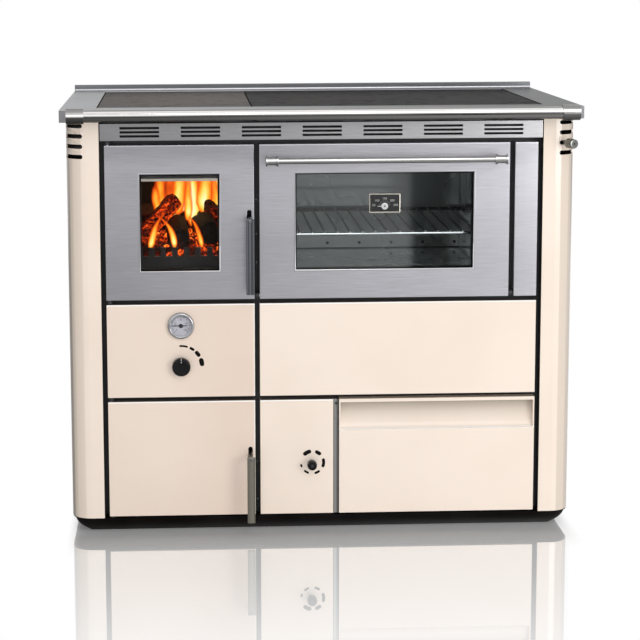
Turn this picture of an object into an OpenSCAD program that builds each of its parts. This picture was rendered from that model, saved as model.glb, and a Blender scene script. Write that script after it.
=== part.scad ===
// Kitchen range that burns wood, cooks on a steel hob and in an oven, and heats water for radiators.
// Millimetres. X runs to the right, the doors face -Y and Z is up. The origin is on the floor,
// under the middle of the worktop.

/* [Casing] */
// Width of the fire door, boiler panel and ash door
left_w = 301.5; // [280:0.5:340]
// Width of the oven door
oven_door_w = 510; // [460:1:560]
// Width of the narrow panel beside the oven door
narrow_w = 47; // [40:1:70]
// Width of the air panel
air_panel_w = 150.5; // [130:0.5:180]
// Width of the strip between the air panel and the drawer
divider_w = 12; // [8:1:20]
// Black gap between neighbouring columns
col_gap = 10.5; // [9:0.5:14]
// Black gap between neighbouring rows
row_gap = 9; // [8:0.5:14]
// Gap under the lowest doors
foot_gap = 3.6; // [3:0.1:8]
// Gap between the fascia and the worktop
top_gap = 4.4; // [2:0.2:8]
// Height of the ash door, air panel and drawer
row3_h = 241.4; // [220:0.2:280]
// Height of the boiler panel and soot panel
row2_h = 193; // [175:1:230]
// Height of the fire door and oven door
row1_h = 316.6; // [300:0.2:360]
// Height of the slotted fascia
fascia_h = 35; // [32:1:50]
// Depth of the casing, from the doors to the back panel
body_d = 560; // [540:5:620]
// Width of a corner post
post_w = 67.5; // [62:0.5:80]
// Depth of a corner post
post_d = 95; // [88:1:120]
// Radius of a post's front corner
post_r = 42; // [38:1:48]
// Sheet thickness of the casing
sheet_t = 3; // [2:0.5:4]
// Thickness of the front frame
frame_t = 8; // [6:1:12]
// Height of the plinth
plinth_h = 31; // [25:1:60]
// How far the top of the plinth stands in from the casing
plinth_in = 5; // [3:1:12]
// How far the rounded foot of the plinth draws in below that
plinth_tuck = 30; // [15:1:32]

/* [Worktop] */
// Thickness of the worktop
worktop_t = 25; // [20:1:35]
// Overhang of the worktop at each side
side_over = 10; // [5:1:20]
// Overhang of the worktop at the front and back
front_over = 20; // [12:1:30]
// Steel border in front of the hob
border_front = 58; // [50:1:75]
// Steel border at each side of the hob
border_side = 72; // [60:1:90]
// Steel border behind the hob
border_back = 49; // [40:1:65]
// Width of the ledge that carries the cooking plates
ledge_w = 12; // [8:1:20]
// Thickness of a cooking plate
plate_t = 12; // [8:1:15]
// Seam round each cooking plate
plate_gap = 2; // [1:0.5:3]
// Height of the rear upstand
upstand_h = 13; // [8:1:30]
// Thickness of the rear upstand
upstand_t = 10; // [6:1:15]
// Diameter of the handrail
rail_d = 25; // [20:1:30]
// Distance from the worktop's edge to the handrail's centre
rail_reach = 35; // [32:1:50]
// Diameter of a handrail socket
socket_d = 31; // [30:1:40]
// Length of a handrail socket
socket_l = 35; // [25:1:45]

/* [Doors] */
// Thickness of a door
door_t = 22; // [20:1:28]
// Thickness of a door's front sheet
skin_t = 2.5; // [1.5:0.5:3]
// Thickness of a door's inner plate
liner_t = 2; // [1.5:0.5:3]
// Thickness of the rope seals
seal_t = 7.5; // [6:0.5:10]
// Width of the rope seals
seal_w = 10; // [8:1:14]
// Distance from a door's edge to its seal
seal_in = 15; // [15:1:18]
// Distance from a door's edge to the opening behind it
open_in = 32; // [30:1:40]
// Width of the fire door's window
fire_win_w = 160.5; // [120:0.5:180]
// Width of the oven door's window
oven_win_w = 363; // [300:1:380]
// Height of both windows
win_h = 197.5; // [150:0.5:220]
// Thickness of the glass
glass_t = 4; // [3:0.5:5]
// How far the glass reaches behind the window's edge
glass_lap = 12; // [8:1:14]
// Radius of the hinge pins and handle pins
pin_r = 4; // [3:0.5:5]
// Distance from a door's faces to the axis of its hinge
pin_in = 6; // [6:0.5:7]
// Depth of the hinge axis behind the door's front
pin_y = 8; // [7:0.5:10]

/* [Handles] */
// Width of a lever handle's flat bar
lever_w = 16; // [12:1:18]
// Thickness of a lever handle's flat bar
lever_t = 5; // [4:0.5:6]
// Gap for the fingers behind a lever handle
lever_gap = 33; // [28:1:45]
// Height of the fire handle's pivot above the foot of its door
fire_pivot_h = 165; // [155:1:200]
// Length of the fire handle
fire_lever_l = 155; // [120:1:160]
// Height of the ash handle's pivot above the foot of its door
ash_pivot_h = 125.4; // [110:0.2:160]
// Length of the ash handle
ash_lever_l = 139; // [110:1:145]
// Width of the slot that a lever handle passes through
lever_slot_w = 9; // [8:0.5:10]
// Diameter of the oven door's bar
bar_d = 12; // [10:1:16]
// Distance from the oven door to the bar's centre
bar_reach = 39; // [34:1:55]
// Distance from the top of the oven door down to the bar
bar_drop = 30.6; // [20:0.2:45]
// Distance from the oven door's side to the bar's end
bar_in = 12; // [8:1:30]
// Length of the sleeve at each end of the bar
sleeve_l = 25; // [18:1:35]

/* [Instruments] */
// Outer diameter of the boiler thermometer
gauge_d = 55; // [45:1:65]
// Diameter of its dial
dial_d = 44; // [36:1:46]
// How far the thermometer stands out
gauge_out = 8; // [6:0.5:12]
// Height of the thermometer above the foot of the boiler panel
gauge_h = 149; // [140:1:155]
// Diameter of the draught knob
draught_d = 38; // [30:1:46]
// Height of the draught knob above the foot of the boiler panel
draught_h = 64; // [55:1:75]
// Diameter of the air knob
air_d = 20; // [16:1:26]
// How far the air knob stands out
air_out = 27; // [22:1:35]
// Height of the air knob above the foot of the air panel
air_h = 107.4; // [90:0.2:130]
// Distance from the air panel's left edge to the air knob
air_x = 105.5; // [70:0.5:110]
// Width of the oven thermometer's plate
thermo_w = 63; // [50:1:70]
// Height of the oven thermometer's plate
thermo_h = 39; // [34:1:44]

/* [Drawer] */
// Height of the drawer's finger recess
grip_h = 65; // [50:1:75]
// Depth of the finger recess
grip_d = 17; // [12:1:17]
// Height of the flange over the recess
grip_lip = 7; // [5:1:10]
// Depth of the drawer's box
drawer_d = 460; // [400:5:480]
// Play between the drawer's box and the front frame
drawer_play = 3; // [2:0.5:5]

/* [Fire and water] */
// Depth of the firebox
fire_d = 382; // [340:2:390]
// Width of the water space round the firebox
water_w = 26; // [20:1:30]
// Plate thickness of the boiler
boiler_t = 4; // [3:0.5:5]
// Thickness of the firebricks
brick_t = 25; // [20:1:30]
// Height of the firebricks
brick_h = 170; // [120:2:200]
// Thickness of the grate
grate_t = 12; // [10:1:16]
// Height of the log guard above the grate
guard_h = 120; // [90:2:130]
// Height of the ash pan
pan_h = 90; // [60:2:110]
// Thread-core radius of the flow and return sockets
flow_r = 15.145; // [12:0.005:19]
// Thread-core radius of the coil and drain sockets
coil_r = 9.315; // [7:0.005:12]
// Depth of the threads
thread_l = 30; // [20:1:40]
// Wall of the sockets
nipple_t = 5; // [4:0.5:8]
// How far the sockets stand out at the back
nipple_out = 15; // [10:1:30]

/* [Oven and flue] */
// Depth of the oven
oven_d = 430; // [380:2:440]
// Height of the rack above the oven's floor
rack_h = 92; // [60:1:130]
// Distance between the rack's wires
wire_gap = 26; // [20:1:32]
// Diameter of the rack's wires
wire_d = 4; // [3:0.5:5]
// Outer diameter of the flue spigot
flue_d = 149; // [118:1:179]
// Distance of the flue's centre below the worktop
flue_drop = 155; // [145:1:165]
// Distance of the flue's centre to the right of the middle
flue_x = 200; // [150:1:250]
// How far the flue spigot stands out
flue_out = 60; // [40:1:80]

/* [Clearances] */
// Radial clearance of a pin or shaft that turns
run_c = 0.05; // [0.02:0.01:0.1]
// Clearance of parts that rest on or slide past each other
seat_c = 0.3; // [0.3:0.05:0.6]

/* [Hidden] */
$fn = 64;
eps = 1;
skim = 0.01;
sole = 0.5;

right_w = oven_door_w + col_gap + narrow_w;
in_w = left_w + right_w + 3 * col_gap;
in_x = in_w / 2;
body_x = in_x + post_w;
top_x = body_x + side_over;
top_y = body_d / 2 + front_over;
front_y = -body_d / 2;
back_y = body_d / 2;
frame_y = front_y + door_t + seal_t + 0.5;
inner_y = frame_y + frame_t;

left_x0 = -in_x + col_gap;
left_x1 = left_x0 + left_w;
right_x0 = left_x1 + col_gap;
right_x1 = in_x - col_gap;
oven_x1 = right_x0 + oven_door_w;
air_x1 = right_x0 + air_panel_w;
drawer_x0 = air_x1 + divider_w;
left_mid = (left_x0 + left_x1) / 2;
oven_mid = (right_x0 + oven_x1) / 2;

base_t = sheet_t;
base_z = plinth_h + base_t;
row3_z = base_z + foot_gap;
row2_z = row3_z + row3_h + row_gap;
row1_z = row2_z + row2_h + row_gap;
fascia_z = row1_z + row1_h + row_gap;
under_z = fascia_z + fascia_h + top_gap;
top_z = under_z + worktop_t;
row3_top = row3_z + row3_h;
row1_top = row1_z + row1_h;

post_cx = body_x - post_r;
post_cy = front_y + post_r;

slot_pitch = 20.7;
slot_h = 8.7;
slot_top = 8.9;
slot_a0 = 16;
slot_a1 = 84;
post_slots = 4;
slot_z0 = under_z - slot_top - (post_slots - 1) * slot_pitch;
damper_z = slot_z0 + slot_pitch;
damper_rest = 22;
damper_rod_r = 3;

hob_x = top_x - border_side;
hob_y0 = -top_y + border_front;
hob_y1 = top_y - border_back;
split_x = (left_x1 + right_x0) / 2 - 7;
plate_z0 = top_z - 1 - plate_t;

rail_z = top_z - 10;
rail_y = -top_y - rail_reach;
socket_x1 = top_x - 16.5;
socket_x0 = socket_x1 - socket_l;

lever_x = left_x1 - 10;
lever_pivot_y = front_y + 11;
strap_w = 6;
strap_h = 10;
slot_rise = 18;

knob_x = left_mid;
gauge_z = row2_z + gauge_h;
draught_z = row2_z + draught_h;
air_knob_x = right_x0 + air_x;
air_knob_z = row3_z + air_h;
thermo_x = oven_mid;
thermo_z = row1_z + row1_h / 2 + 36;
spindle_z = thermo_z - 6;

fire_x0 = left_x0 + open_in;
fire_x1 = left_x1 - open_in;
fire_y1 = inner_y + fire_d;
grate_z = row1_z - 20;
boiler_x0 = fire_x0 - 2 * boiler_t - water_w;
boiler_x1 = fire_x1 + 2 * boiler_t + water_w;
boiler_y1 = fire_y1 + 2 * boiler_t + water_w;
boiler_z0 = grate_z - boiler_t;
boiler_z1 = under_z - 5;

oven_x0 = right_x0 + open_in;
oven_in_x1 = oven_x1 - open_in;
oven_z0 = row1_z + open_in;
oven_z1 = row1_top - open_in;
oven_y1 = inner_y + oven_d;
rack_z = oven_z0 + rack_h;
wires = floor((oven_in_x1 - oven_x0 - 30) / wire_gap);

dr_x0 = drawer_x0 + 12;
dr_x1 = right_x1 - 12;
dr_z0 = row3_z + 12;
dr_z1 = row3_top - 12;

flue_r = flue_d / 2;
flue_t = 3;
flue_neck = 4;
flue_z = under_z - flue_drop;

steel = [0.66, 0.67, 0.70];
cream = [0.96, 0.90, 0.83];
black = [0.10, 0.10, 0.11];
iron = [0.25, 0.25, 0.26];
chrome = [0.85, 0.85, 0.86];
rope = [0.75, 0.73, 0.68];
brick = [0.78, 0.62, 0.45];
clear = [0.70, 0.80, 0.85, 0.35];

// Building blocks shared by several parts

module block(lo, hi) { translate(lo) cube(hi - lo); }

module rod_x(x0, x1, y, z, r) { translate([x0, y, z]) rotate([0, 90, 0]) cylinder(r = r, h = x1 - x0); }

module rod_y(x, y0, y1, z, r) { translate([x, y1, z]) rotate([90, 0, 0]) cylinder(r = r, h = y1 - y0); }

module rod_z(x, y, z0, z1, r) { translate([x, y, z0]) cylinder(r = r, h = z1 - z0); }

// Outline of the casing with its two rounded front corners, drawn in by inset
module casing_outline(inset) {
    r = post_r - inset;
    for (s = [-1, 1]) translate([s * post_cx, post_cy]) circle(r);
    translate([-post_cx, front_y + inset]) square([2 * post_cx, body_d - 2 * inset]);
    translate([-body_x + inset, post_cy]) square([2 * (body_x - inset), back_y - inset - post_cy]);
}

// Sheet panel with edges turned back to the front frame
module pan(x0, x1, z0, z1, depth) {
    difference() {
        block([x0, front_y, z0], [x1, front_y + depth, z1]);
        block([x0 + sheet_t, front_y + skin_t, z0 + sheet_t],
              [x1 - sheet_t, front_y + depth + eps, z1 - sheet_t]);
    }
}

// Flat ring between two rectangles, from y0 to y1
module ring(x0, x1, z0, z1, w, y0, y1) {
    difference() {
        block([x0, y0, z0], [x1, y1, z1]);
        block([x0 + w, y0 - eps, z0 + w], [x1 - w, y1 + eps, z1 - w]);
    }
}

module window_cut(mid, w, grow) {
    z = row1_z + row1_h / 2;
    block([mid - w / 2 - grow, front_y - eps, z - win_h / 2 - grow],
          [mid + w / 2 + grow, front_y + door_t + eps, z + win_h / 2 + grow]);
}

module glass(mid, w) {
    z = row1_z + row1_h / 2;
    block([mid - w / 2 - glass_lap, front_y + skin_t, z - win_h / 2 - glass_lap],
          [mid + w / 2 + glass_lap, front_y + skin_t + glass_t, z + win_h / 2 + glass_lap]);
}

module glass_retainer(mid, w) {
    z = row1_z + row1_h / 2;
    y0 = front_y + skin_t + glass_t;
    ring(mid - w / 2 - glass_lap, mid + w / 2 + glass_lap, z - win_h / 2 - glass_lap,
         z + win_h / 2 + glass_lap, glass_lap + 3, y0, front_y + door_t - liner_t);
}

module door_liner(x0, x1, z0, z1) {
    block([x0 + sheet_t, front_y + door_t - liner_t, z0 + sheet_t],
          [x1 - sheet_t, front_y + door_t, z1 - sheet_t]);
}

module door_seal(x0, x1, z0, z1) {
    ring(x0 + seal_in, x1 - seal_in, z0 + seal_in, z1 - seal_in, seal_w,
         front_y + door_t, front_y + door_t + seal_t);
}

// Side-hung door: sheet pan, hinge blocks at its left edge and bearings for the lever handle
block_w = 14;
block_l = 18;

module hung_door(z0, z1, pivot_z) {
    block_y1 = front_y + door_t - liner_t;
    clevis_x = lever_x - strap_w / 2 - 8;
    difference() {
        union() {
            pan(left_x0, left_x1, z0, z1, door_t);
            for (z = [z0 + 1, z1 - 1 - block_l])
                block([left_x0 + 1, front_y + 1, z], [left_x0 + block_w, block_y1, z + block_l]);
            block([clevis_x, front_y + 1, pivot_z - 9], [clevis_x + 6, block_y1, pivot_z + 9]);
        }
        rod_z(left_x0 + pin_in, front_y + pin_y, z0 - eps, z0 + block_l - 3, pin_r);
        rod_z(left_x0 + pin_in, front_y + pin_y, z1 - block_l + 3, z1 + eps, pin_r);
        rod_x(clevis_x - eps, left_x1 - 1, lever_pivot_y, pivot_z, pin_r);
        block([lever_x - lever_slot_w / 2, front_y - eps, pivot_z - strap_h / 2 - 1],
              [lever_x + lever_slot_w / 2, front_y + skin_t + eps, pivot_z + slot_rise - lever_slot_w / 2]);
        rod_y(lever_x, front_y - eps, front_y + skin_t + eps, pivot_z + slot_rise - lever_slot_w / 2,
              lever_slot_w / 2);
    }
}

module hung_door_pins(z0, z1, pivot_z, foot_l) {
    rod_z(left_x0 + pin_in, front_y + pin_y, z0 - foot_l, z0 + block_l - 3, pin_r);
    rod_z(left_x0 + pin_in, front_y + pin_y, z1 - block_l + 3, z1 + row_gap - 1.5, pin_r);
    rod_x(lever_x - strap_w / 2 - 8, left_x1 - 1, lever_pivot_y, pivot_z, pin_r);
}

// Lever handle: boss on its pin, strap through the door's slot, flat bar hanging in front
module lever_handle(pivot_z, length) {
    bar_y1 = front_y - lever_gap;
    top = pivot_z + strap_h / 2;
    difference() {
        union() {
            rod_x(lever_x - strap_w / 2, lever_x + strap_w / 2, lever_pivot_y, pivot_z, pin_r + 3.5);
            block([lever_x - strap_w / 2, bar_y1 - 1, pivot_z - strap_h / 2],
                  [lever_x + strap_w / 2, lever_pivot_y, top]);
            block([lever_x - lever_w / 2, bar_y1 - lever_t, top - length],
                  [lever_x + lever_w / 2, bar_y1, top]);
        }
        rod_x(lever_x - strap_w, lever_x + strap_w, lever_pivot_y, pivot_z, pin_r + run_c);
    }
}

// Bearing lug in the gap between two doors, for an upright pin
module lug_z(z0, z1) {
    r = pin_r + 2;
    x = left_x0 + pin_in;
    difference() {
        union() {
            rod_z(x, front_y + pin_y, z0, z1, r);
            block([x - r, front_y + pin_y, z0], [x + r, frame_y, z1]);
        }
        rod_z(x, front_y + pin_y, z0 - eps, z1 + eps, pin_r + run_c);
    }
}

// Bearing lug beside the oven door, for a level pin
module lug_x(x0, x1) {
    r = pin_r + 2;
    difference() {
        union() {
            rod_x(x0, x1, front_y + pin_y, row1_z + pin_in, r);
            block([x0, front_y + pin_y, row1_z + pin_in - r], [x1, frame_y, row1_z + pin_in + r]);
        }
        rod_x(x0 - eps, x1 + eps, front_y + pin_y, row1_z + pin_in, pin_r + run_c);
    }
}

// Casing

// Pressed tray, rounded in towards the floor at the front and sides, on a flat sole
module plinth() {
    color(black) {
        difference() {
            plinth_form(0);
            translate([0, 0, sheet_t]) plinth_form(sheet_t);
        }
        linear_extrude(sheet_t) plinth_outline(plinth_in + plinth_tuck, 0);
    }
}

module plinth_form(wall) {
    steps = 6;
    rise = (plinth_h - sole - skim) / steps;
    hull() for (k = [0 : steps]) translate([0, 0, sole + k * rise]) linear_extrude(skim)
        plinth_outline(plinth_in + wall + plinth_tuck * pow(1 - k / steps, 2), wall, $fn = 32);
}

module plinth_outline(inset, wall) {
    r = max(3, post_r - inset);
    x = body_x - inset;
    y0 = front_y + inset;
    y1 = back_y - plinth_in - wall;
    for (s = [-1, 1]) translate([s * (x - r), y0 + r]) circle(r);
    translate([-x + r, y0]) square([2 * (x - r), y1 - y0]);
    translate([-x, y0 + r]) square([2 * x, y1 - y0 - r]);
}

module base_plate() {
    color(black) translate([0, 0, plinth_h]) linear_extrude(base_t) casing_outline(1);
}

module post_outline(inset) {
    r = post_r - inset;
    translate([post_cx, post_cy]) intersection() {
        circle(r);
        translate([0, -r]) square(r);
    }
    translate([in_x + inset, front_y + inset]) square([post_cx - in_x - inset, post_d - 2 * inset]);
    translate([in_x + inset, post_cy]) square([post_w - 2 * inset, post_d - post_r - inset]);
}

module post_shell() {
    past = 2 * post_r + 6;
    difference() {
        translate([0, 0, base_z]) linear_extrude(under_z - base_z) difference() {
            post_outline(0);
            post_outline(sheet_t);
        }
        for (i = [0 : post_slots - 1]) translate([post_cx, post_cy, slot_z0 + i * slot_pitch]) {
            intersection() {
                translate([0, 0, -slot_h / 2]) cylinder(r = post_r + 3, h = slot_h);
                linear_extrude(slot_h + 2, center = true) polygon([
                    [0, 0],
                    [past * sin(slot_a0), -past * cos(slot_a0)],
                    [past, -past],
                    [past * sin(slot_a1), -past * cos(slot_a1)]
                ]);
            }
            for (a = [slot_a0, slot_a1]) rotate([0, 0, a]) rotate([90, 0, 0])
                cylinder(r = slot_h / 2, h = post_r + 3);
        }
    }
}

module corner_posts() { color(cream) for (s = [0, 1]) mirror([s, 0, 0]) post_shell(); }

module side_panels() {
    color(steel) for (s = [0, 1]) mirror([s, 0, 0])
        block([body_x - 2 - sheet_t, front_y + post_d, base_z], [body_x - 2, back_y - sheet_t, under_z]);
}

module back_panel() {
    color(iron) difference() {
        block([-body_x + 2, back_y - sheet_t, base_z], [body_x - 2, back_y, under_z]);
        rod_y(flue_x, back_y - sheet_t - eps, back_y + eps, flue_z, flue_r + flue_neck + 1);
        for (n = nipples) rod_y(n[0], back_y - sheet_t - eps, back_y + eps, n[1], n[2] + nipple_t + 1.5);
    }
}

module front_frame() {
    fy = [frame_y - eps, inner_y + eps];
    color(black) difference() {
        block([-in_x, frame_y, base_z], [in_x, inner_y, under_z]);
        block([fire_x0, fy[0], row1_z + open_in], [fire_x1, fy[1], row1_top - open_in]);
        block([oven_x0, fy[0], oven_z0], [oven_in_x1, fy[1], oven_z1]);
        block([fire_x0, fy[0], row3_z + open_in], [fire_x1, fy[1], row3_top - open_in]);
        block([dr_x0, fy[0], dr_z0], [dr_x1, fy[1], dr_z1]);
    }
}

fascia_groups = 7;
fascia_pitch = 122.8;
fascia_slot_l = 83.5;
fascia_slot_h = 4.3;
fascia_slot_gap = 8.3;

module fascia() {
    mid_z = fascia_z + fascia_h / 2;
    half = fascia_slot_l / 2 - fascia_slot_h / 2;
    color(steel) difference() {
        pan(-in_x + 2, in_x - 2, fascia_z, fascia_z + fascia_h, frame_y - front_y);
        for (i = [0 : fascia_groups - 1], j = [-1 : 1])
            block([(i - (fascia_groups - 1) / 2) * fascia_pitch - half, front_y - eps,
                   mid_z + j * fascia_slot_gap - fascia_slot_h / 2],
                  [(i - (fascia_groups - 1) / 2) * fascia_pitch + half, front_y + skin_t + eps,
                   mid_z + j * fascia_slot_gap + fascia_slot_h / 2]);
    }
}

// Worktop

module worktop() {
    color(steel) difference() {
        block([-top_x, -top_y, under_z], [top_x, top_y, top_z]);
        block([-hob_x, hob_y0, plate_z0 - seat_c], [hob_x, hob_y1, top_z + eps]);
        block([-hob_x + ledge_w, hob_y0 + ledge_w, under_z - eps], [hob_x - ledge_w, hob_y1 - ledge_w, top_z]);
    }
}

module cooking_plate(x0, x1) {
    block([x0 + plate_gap, hob_y0 + plate_gap, plate_z0], [x1 - plate_gap, hob_y1 - plate_gap, plate_z0 + plate_t]);
}

module cooking_plate_left() { color(iron) cooking_plate(-hob_x, split_x + plate_gap / 2); }

module cooking_plate_right() { color(iron) cooking_plate(split_x - plate_gap / 2, hob_x); }

module upstand() {
    color(steel) block([-top_x, top_y - upstand_t, top_z], [top_x, top_y, top_z + upstand_h]);
}

module handrail() {
    color(chrome) rod_x(-socket_x1 + 5, socket_x1 - 5, rail_y, rail_z, rail_d / 2);
}

module handrail_sockets() {
    mid = (socket_x0 + socket_x1) / 2;
    color(chrome) for (s = [0, 1]) mirror([s, 0, 0]) difference() {
        union() {
            rod_x(socket_x0, socket_x1, rail_y, rail_z, socket_d / 2);
            rod_y(mid, rail_y, -top_y, rail_z - 2, 8);
        }
        rod_x(socket_x0 - eps, socket_x1 - 5, rail_y, rail_z, rail_d / 2);
    }
}

// Fixed front panels

module narrow_panel() { color(steel) pan(oven_x1 + col_gap, right_x1, row1_z, row1_top, frame_y - front_y); }

module boiler_panel() {
    bush_r = pin_r + 4;
    color(cream) difference() {
        union() {
            pan(left_x0, left_x1, row2_z, row2_z + row2_h, frame_y - front_y);
            rod_y(knob_x, front_y + 1, front_y + 14, draught_z, bush_r);
        }
        rod_y(knob_x, front_y - eps, front_y + 15, draught_z, pin_r + run_c);
        rod_y(knob_x, front_y - eps, front_y + 15, gauge_z, dial_d / 2 - 2);
    }
}

module soot_panel() {
    color(cream) pan(right_x0, right_x1, row2_z, row2_z + row2_h, frame_y - front_y);
}

module air_panel() {
    bush_r = pin_r + 4;
    color(cream) difference() {
        union() {
            pan(right_x0, air_x1, row3_z, row3_top, frame_y - front_y);
            rod_y(air_knob_x, front_y + 1, front_y + 12, air_knob_z, bush_r);
        }
        rod_y(air_knob_x, front_y - eps, front_y + 15, air_knob_z, pin_r + run_c);
    }
}

module divider_strip() {
    x = (air_x1 + drawer_x0) / 2;
    color(steel) {
        block([air_x1 + 1, front_y + 2, row3_z], [drawer_x0 - 1, frame_y, row3_top]);
        rod_y(x, front_y + 0.5, front_y + 2, row3_top - 39, 3);
    }
}

module hinge_lugs() {
    color(iron) {
        lug_z(row1_top + 1, row1_top + row_gap - 1);
        lug_z(row1_z - row_gap + 1, row1_z - 1);
        lug_z(row3_top + 1, row3_top + row_gap - 1);
        lug_z(base_z, row3_z - 0.6);
        lug_x(left_x1 + 1.5, right_x0 - 1);
        lug_x(oven_x1 + 1, oven_x1 + col_gap - 1.5);
    }
}

// Fire door

fire_pivot_z = row1_z + fire_pivot_h;

module fire_door() {
    color(steel) difference() {
        hung_door(row1_z, row1_top, fire_pivot_z);
        window_cut(left_mid, fire_win_w, 0);
    }
}

// Inner plate of the fire door, and the frame that holds the glass against the front sheet
module fire_door_liner() {
    color(iron) {
        difference() {
            door_liner(left_x0, left_x1, row1_z, row1_top);
            window_cut(left_mid, fire_win_w, glass_lap - 8);
        }
        glass_retainer(left_mid, fire_win_w);
    }
}

module fire_glass() { color(clear) glass(left_mid, fire_win_w); }

module fire_seal() { color(rope) door_seal(left_x0, left_x1, row1_z, row1_top); }

module fire_door_pins() { color(chrome) hung_door_pins(row1_z, row1_top, fire_pivot_z, row_gap - 1.5); }

module fire_handle() { color(steel) lever_handle(fire_pivot_z, fire_lever_l); }

// Oven door, hinged along its foot

module oven_door() {
    block_y1 = front_y + door_t - liner_t;
    z = row1_z + pin_in;
    color(steel) difference() {
        union() {
            pan(right_x0, oven_x1, row1_z, row1_top, door_t);
            for (x = [right_x0 + 1, oven_x1 - 1 - block_l])
                block([x, front_y + 1, row1_z + 1], [x + block_l, block_y1, row1_z + block_w]);
        }
        window_cut(oven_mid, oven_win_w, 0);
        rod_x(right_x0 - eps, right_x0 + block_l - 3, front_y + pin_y, z, pin_r);
        rod_x(oven_x1 - block_l + 3, oven_x1 + eps, front_y + pin_y, z, pin_r);
    }
}

module oven_door_liner() {
    color(iron) {
        difference() {
            door_liner(right_x0, oven_x1, row1_z, row1_top);
            window_cut(oven_mid, oven_win_w, glass_lap - 8);
        }
        glass_retainer(oven_mid, oven_win_w);
    }
}

module oven_glass() { color(clear) glass(oven_mid, oven_win_w); }

module oven_seal() { color(rope) door_seal(right_x0, oven_x1, row1_z, row1_top); }

module oven_door_pins() {
    z = row1_z + pin_in;
    color(chrome) {
        rod_x(right_x0 - col_gap + 2, right_x0 + block_l - 3, front_y + pin_y, z, pin_r);
        rod_x(oven_x1 - block_l + 3, oven_x1 + col_gap - 2, front_y + pin_y, z, pin_r);
    }
}

bar_y = front_y - bar_reach;
bar_z = row1_top - bar_drop;
collar_t = 3;

module oven_bar() { color(chrome) rod_x(right_x0 + bar_in, oven_x1 - bar_in, bar_y, bar_z, bar_d / 2); }

module oven_bar_ends() {
    r = bar_d / 2;
    color(chrome) for (x0 = [right_x0 + bar_in, oven_x1 - bar_in - sleeve_l]) difference() {
        union() {
            rod_x(x0, x0 + sleeve_l, bar_y, bar_z, r + 2);
            rod_x(x0, x0 + collar_t, bar_y, bar_z, r + 4.5);
            rod_x(x0 + sleeve_l - collar_t, x0 + sleeve_l, bar_y, bar_z, r + 4.5);
            rod_y(x0 + sleeve_l / 2, bar_y, front_y, bar_z, 5);
        }
        rod_x(x0 - eps, x0 + sleeve_l + eps, bar_y, bar_z, r);
    }
}

// Thermometer on the oven glass: plate, spindle, and a pointer that turns on it

thermo_y = front_y + skin_t;
thermo_t = 1.5;
spindle_r = 1.5;
pointer_t = 1.2;

module oven_thermometer() {
    color(black) {
        block([thermo_x - thermo_w / 2, thermo_y - thermo_t, thermo_z - thermo_h / 2],
              [thermo_x + thermo_w / 2, thermo_y, thermo_z + thermo_h / 2]);
        rod_y(thermo_x, thermo_y - thermo_t - 3, thermo_y - thermo_t, spindle_z, spindle_r);
    }
}

module pointer(x, z, y1, hub_r, length, width) {
    difference() {
        union() {
            rod_y(x, y1 - pointer_t, y1, z, hub_r);
            block([x - length, y1 - pointer_t, z - width / 2], [x, y1, z + width / 2]);
        }
        rod_y(x, y1 - pointer_t - eps, y1 + eps, z, spindle_r + run_c);
    }
}

module oven_pointer() {
    color(chrome) pointer(thermo_x, spindle_z, thermo_y - thermo_t - seat_c, 7, 15, 2);
}

// Ash door

ash_pivot_z = row3_z + ash_pivot_h;

module ash_door() { color(cream) hung_door(row3_z, row3_top, ash_pivot_z); }

module ash_door_liner() { color(iron) door_liner(left_x0, left_x1, row3_z, row3_top); }

module ash_seal() { color(rope) door_seal(left_x0, left_x1, row3_z, row3_top); }

module ash_door_pins() { color(chrome) hung_door_pins(row3_z, row3_top, ash_pivot_z, foot_gap - 0.3); }

module ash_handle() { color(steel) lever_handle(ash_pivot_z, ash_lever_l); }

// Boiler thermometer, draught knob and air knob

gauge_lip = 2;
gauge_y = front_y - gauge_out;

module gauge_bezel() {
    color(chrome) difference() {
        rod_y(knob_x, gauge_y, front_y, gauge_z, gauge_d / 2);
        rod_y(knob_x, gauge_y + gauge_lip, front_y + eps, gauge_z, dial_d / 2 + 1);
        rod_y(knob_x, gauge_y - eps, front_y + eps, gauge_z, dial_d / 2);
    }
}

module gauge_dial() {
    color("white") {
        rod_y(knob_x, front_y - 1.5, front_y, gauge_z, dial_d / 2 + 0.8);
        rod_y(knob_x, front_y - 1, front_y + 18, gauge_z, dial_d / 2 - 2.2);
        rod_y(knob_x, front_y - 3.6, front_y, gauge_z, spindle_r);
    }
}

module gauge_glass() {
    color(clear) rod_y(knob_x, gauge_y + gauge_lip, gauge_y + gauge_lip + 1.5, gauge_z, dial_d / 2 + 0.8);
}

module gauge_pointer() {
    color("black") pointer(knob_x, gauge_z, front_y - 1.5 - seat_c, 4, dial_d / 2 - 4, 1.6);
}

module draught_knob() {
    color(black) rotate_knob(knob_x, draught_z, 15, draught_d / 2);
}

// Knob on a shaft that runs in the panel's bush, with a circlip disc behind the bush
module rotate_knob(x, z, out, r) {
    rod_y(x, front_y - out, front_y - seat_c, z, r);
    rod_y(x, front_y - 1, front_y + 18, z, pin_r);
    rod_y(x, front_y + 15, front_y + 18, z, pin_r + 3);
}

module air_knob() {
    color(black) rotate_knob(air_knob_x, air_knob_z, air_out, air_d / 2);
}

// Damper lever in the right post

damper_knob_r = 10;
damper_knob_l = 22;
damper_reach = 70;

module damper_pivot() {
    reach = post_r - sheet_t - 6;
    color(iron) {
        rod_z(post_cx, post_cy, damper_z - 25, damper_z + 18, pin_r);
        block([in_x + sheet_t, post_cy - 8, damper_z - 25], [post_cx + reach - 16, post_cy + 8, damper_z - 22]);
        block([in_x + sheet_t, post_cy - 8, damper_z + 15], [post_cx + reach - 16, post_cy + 8, damper_z + 18]);
    }
}

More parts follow.
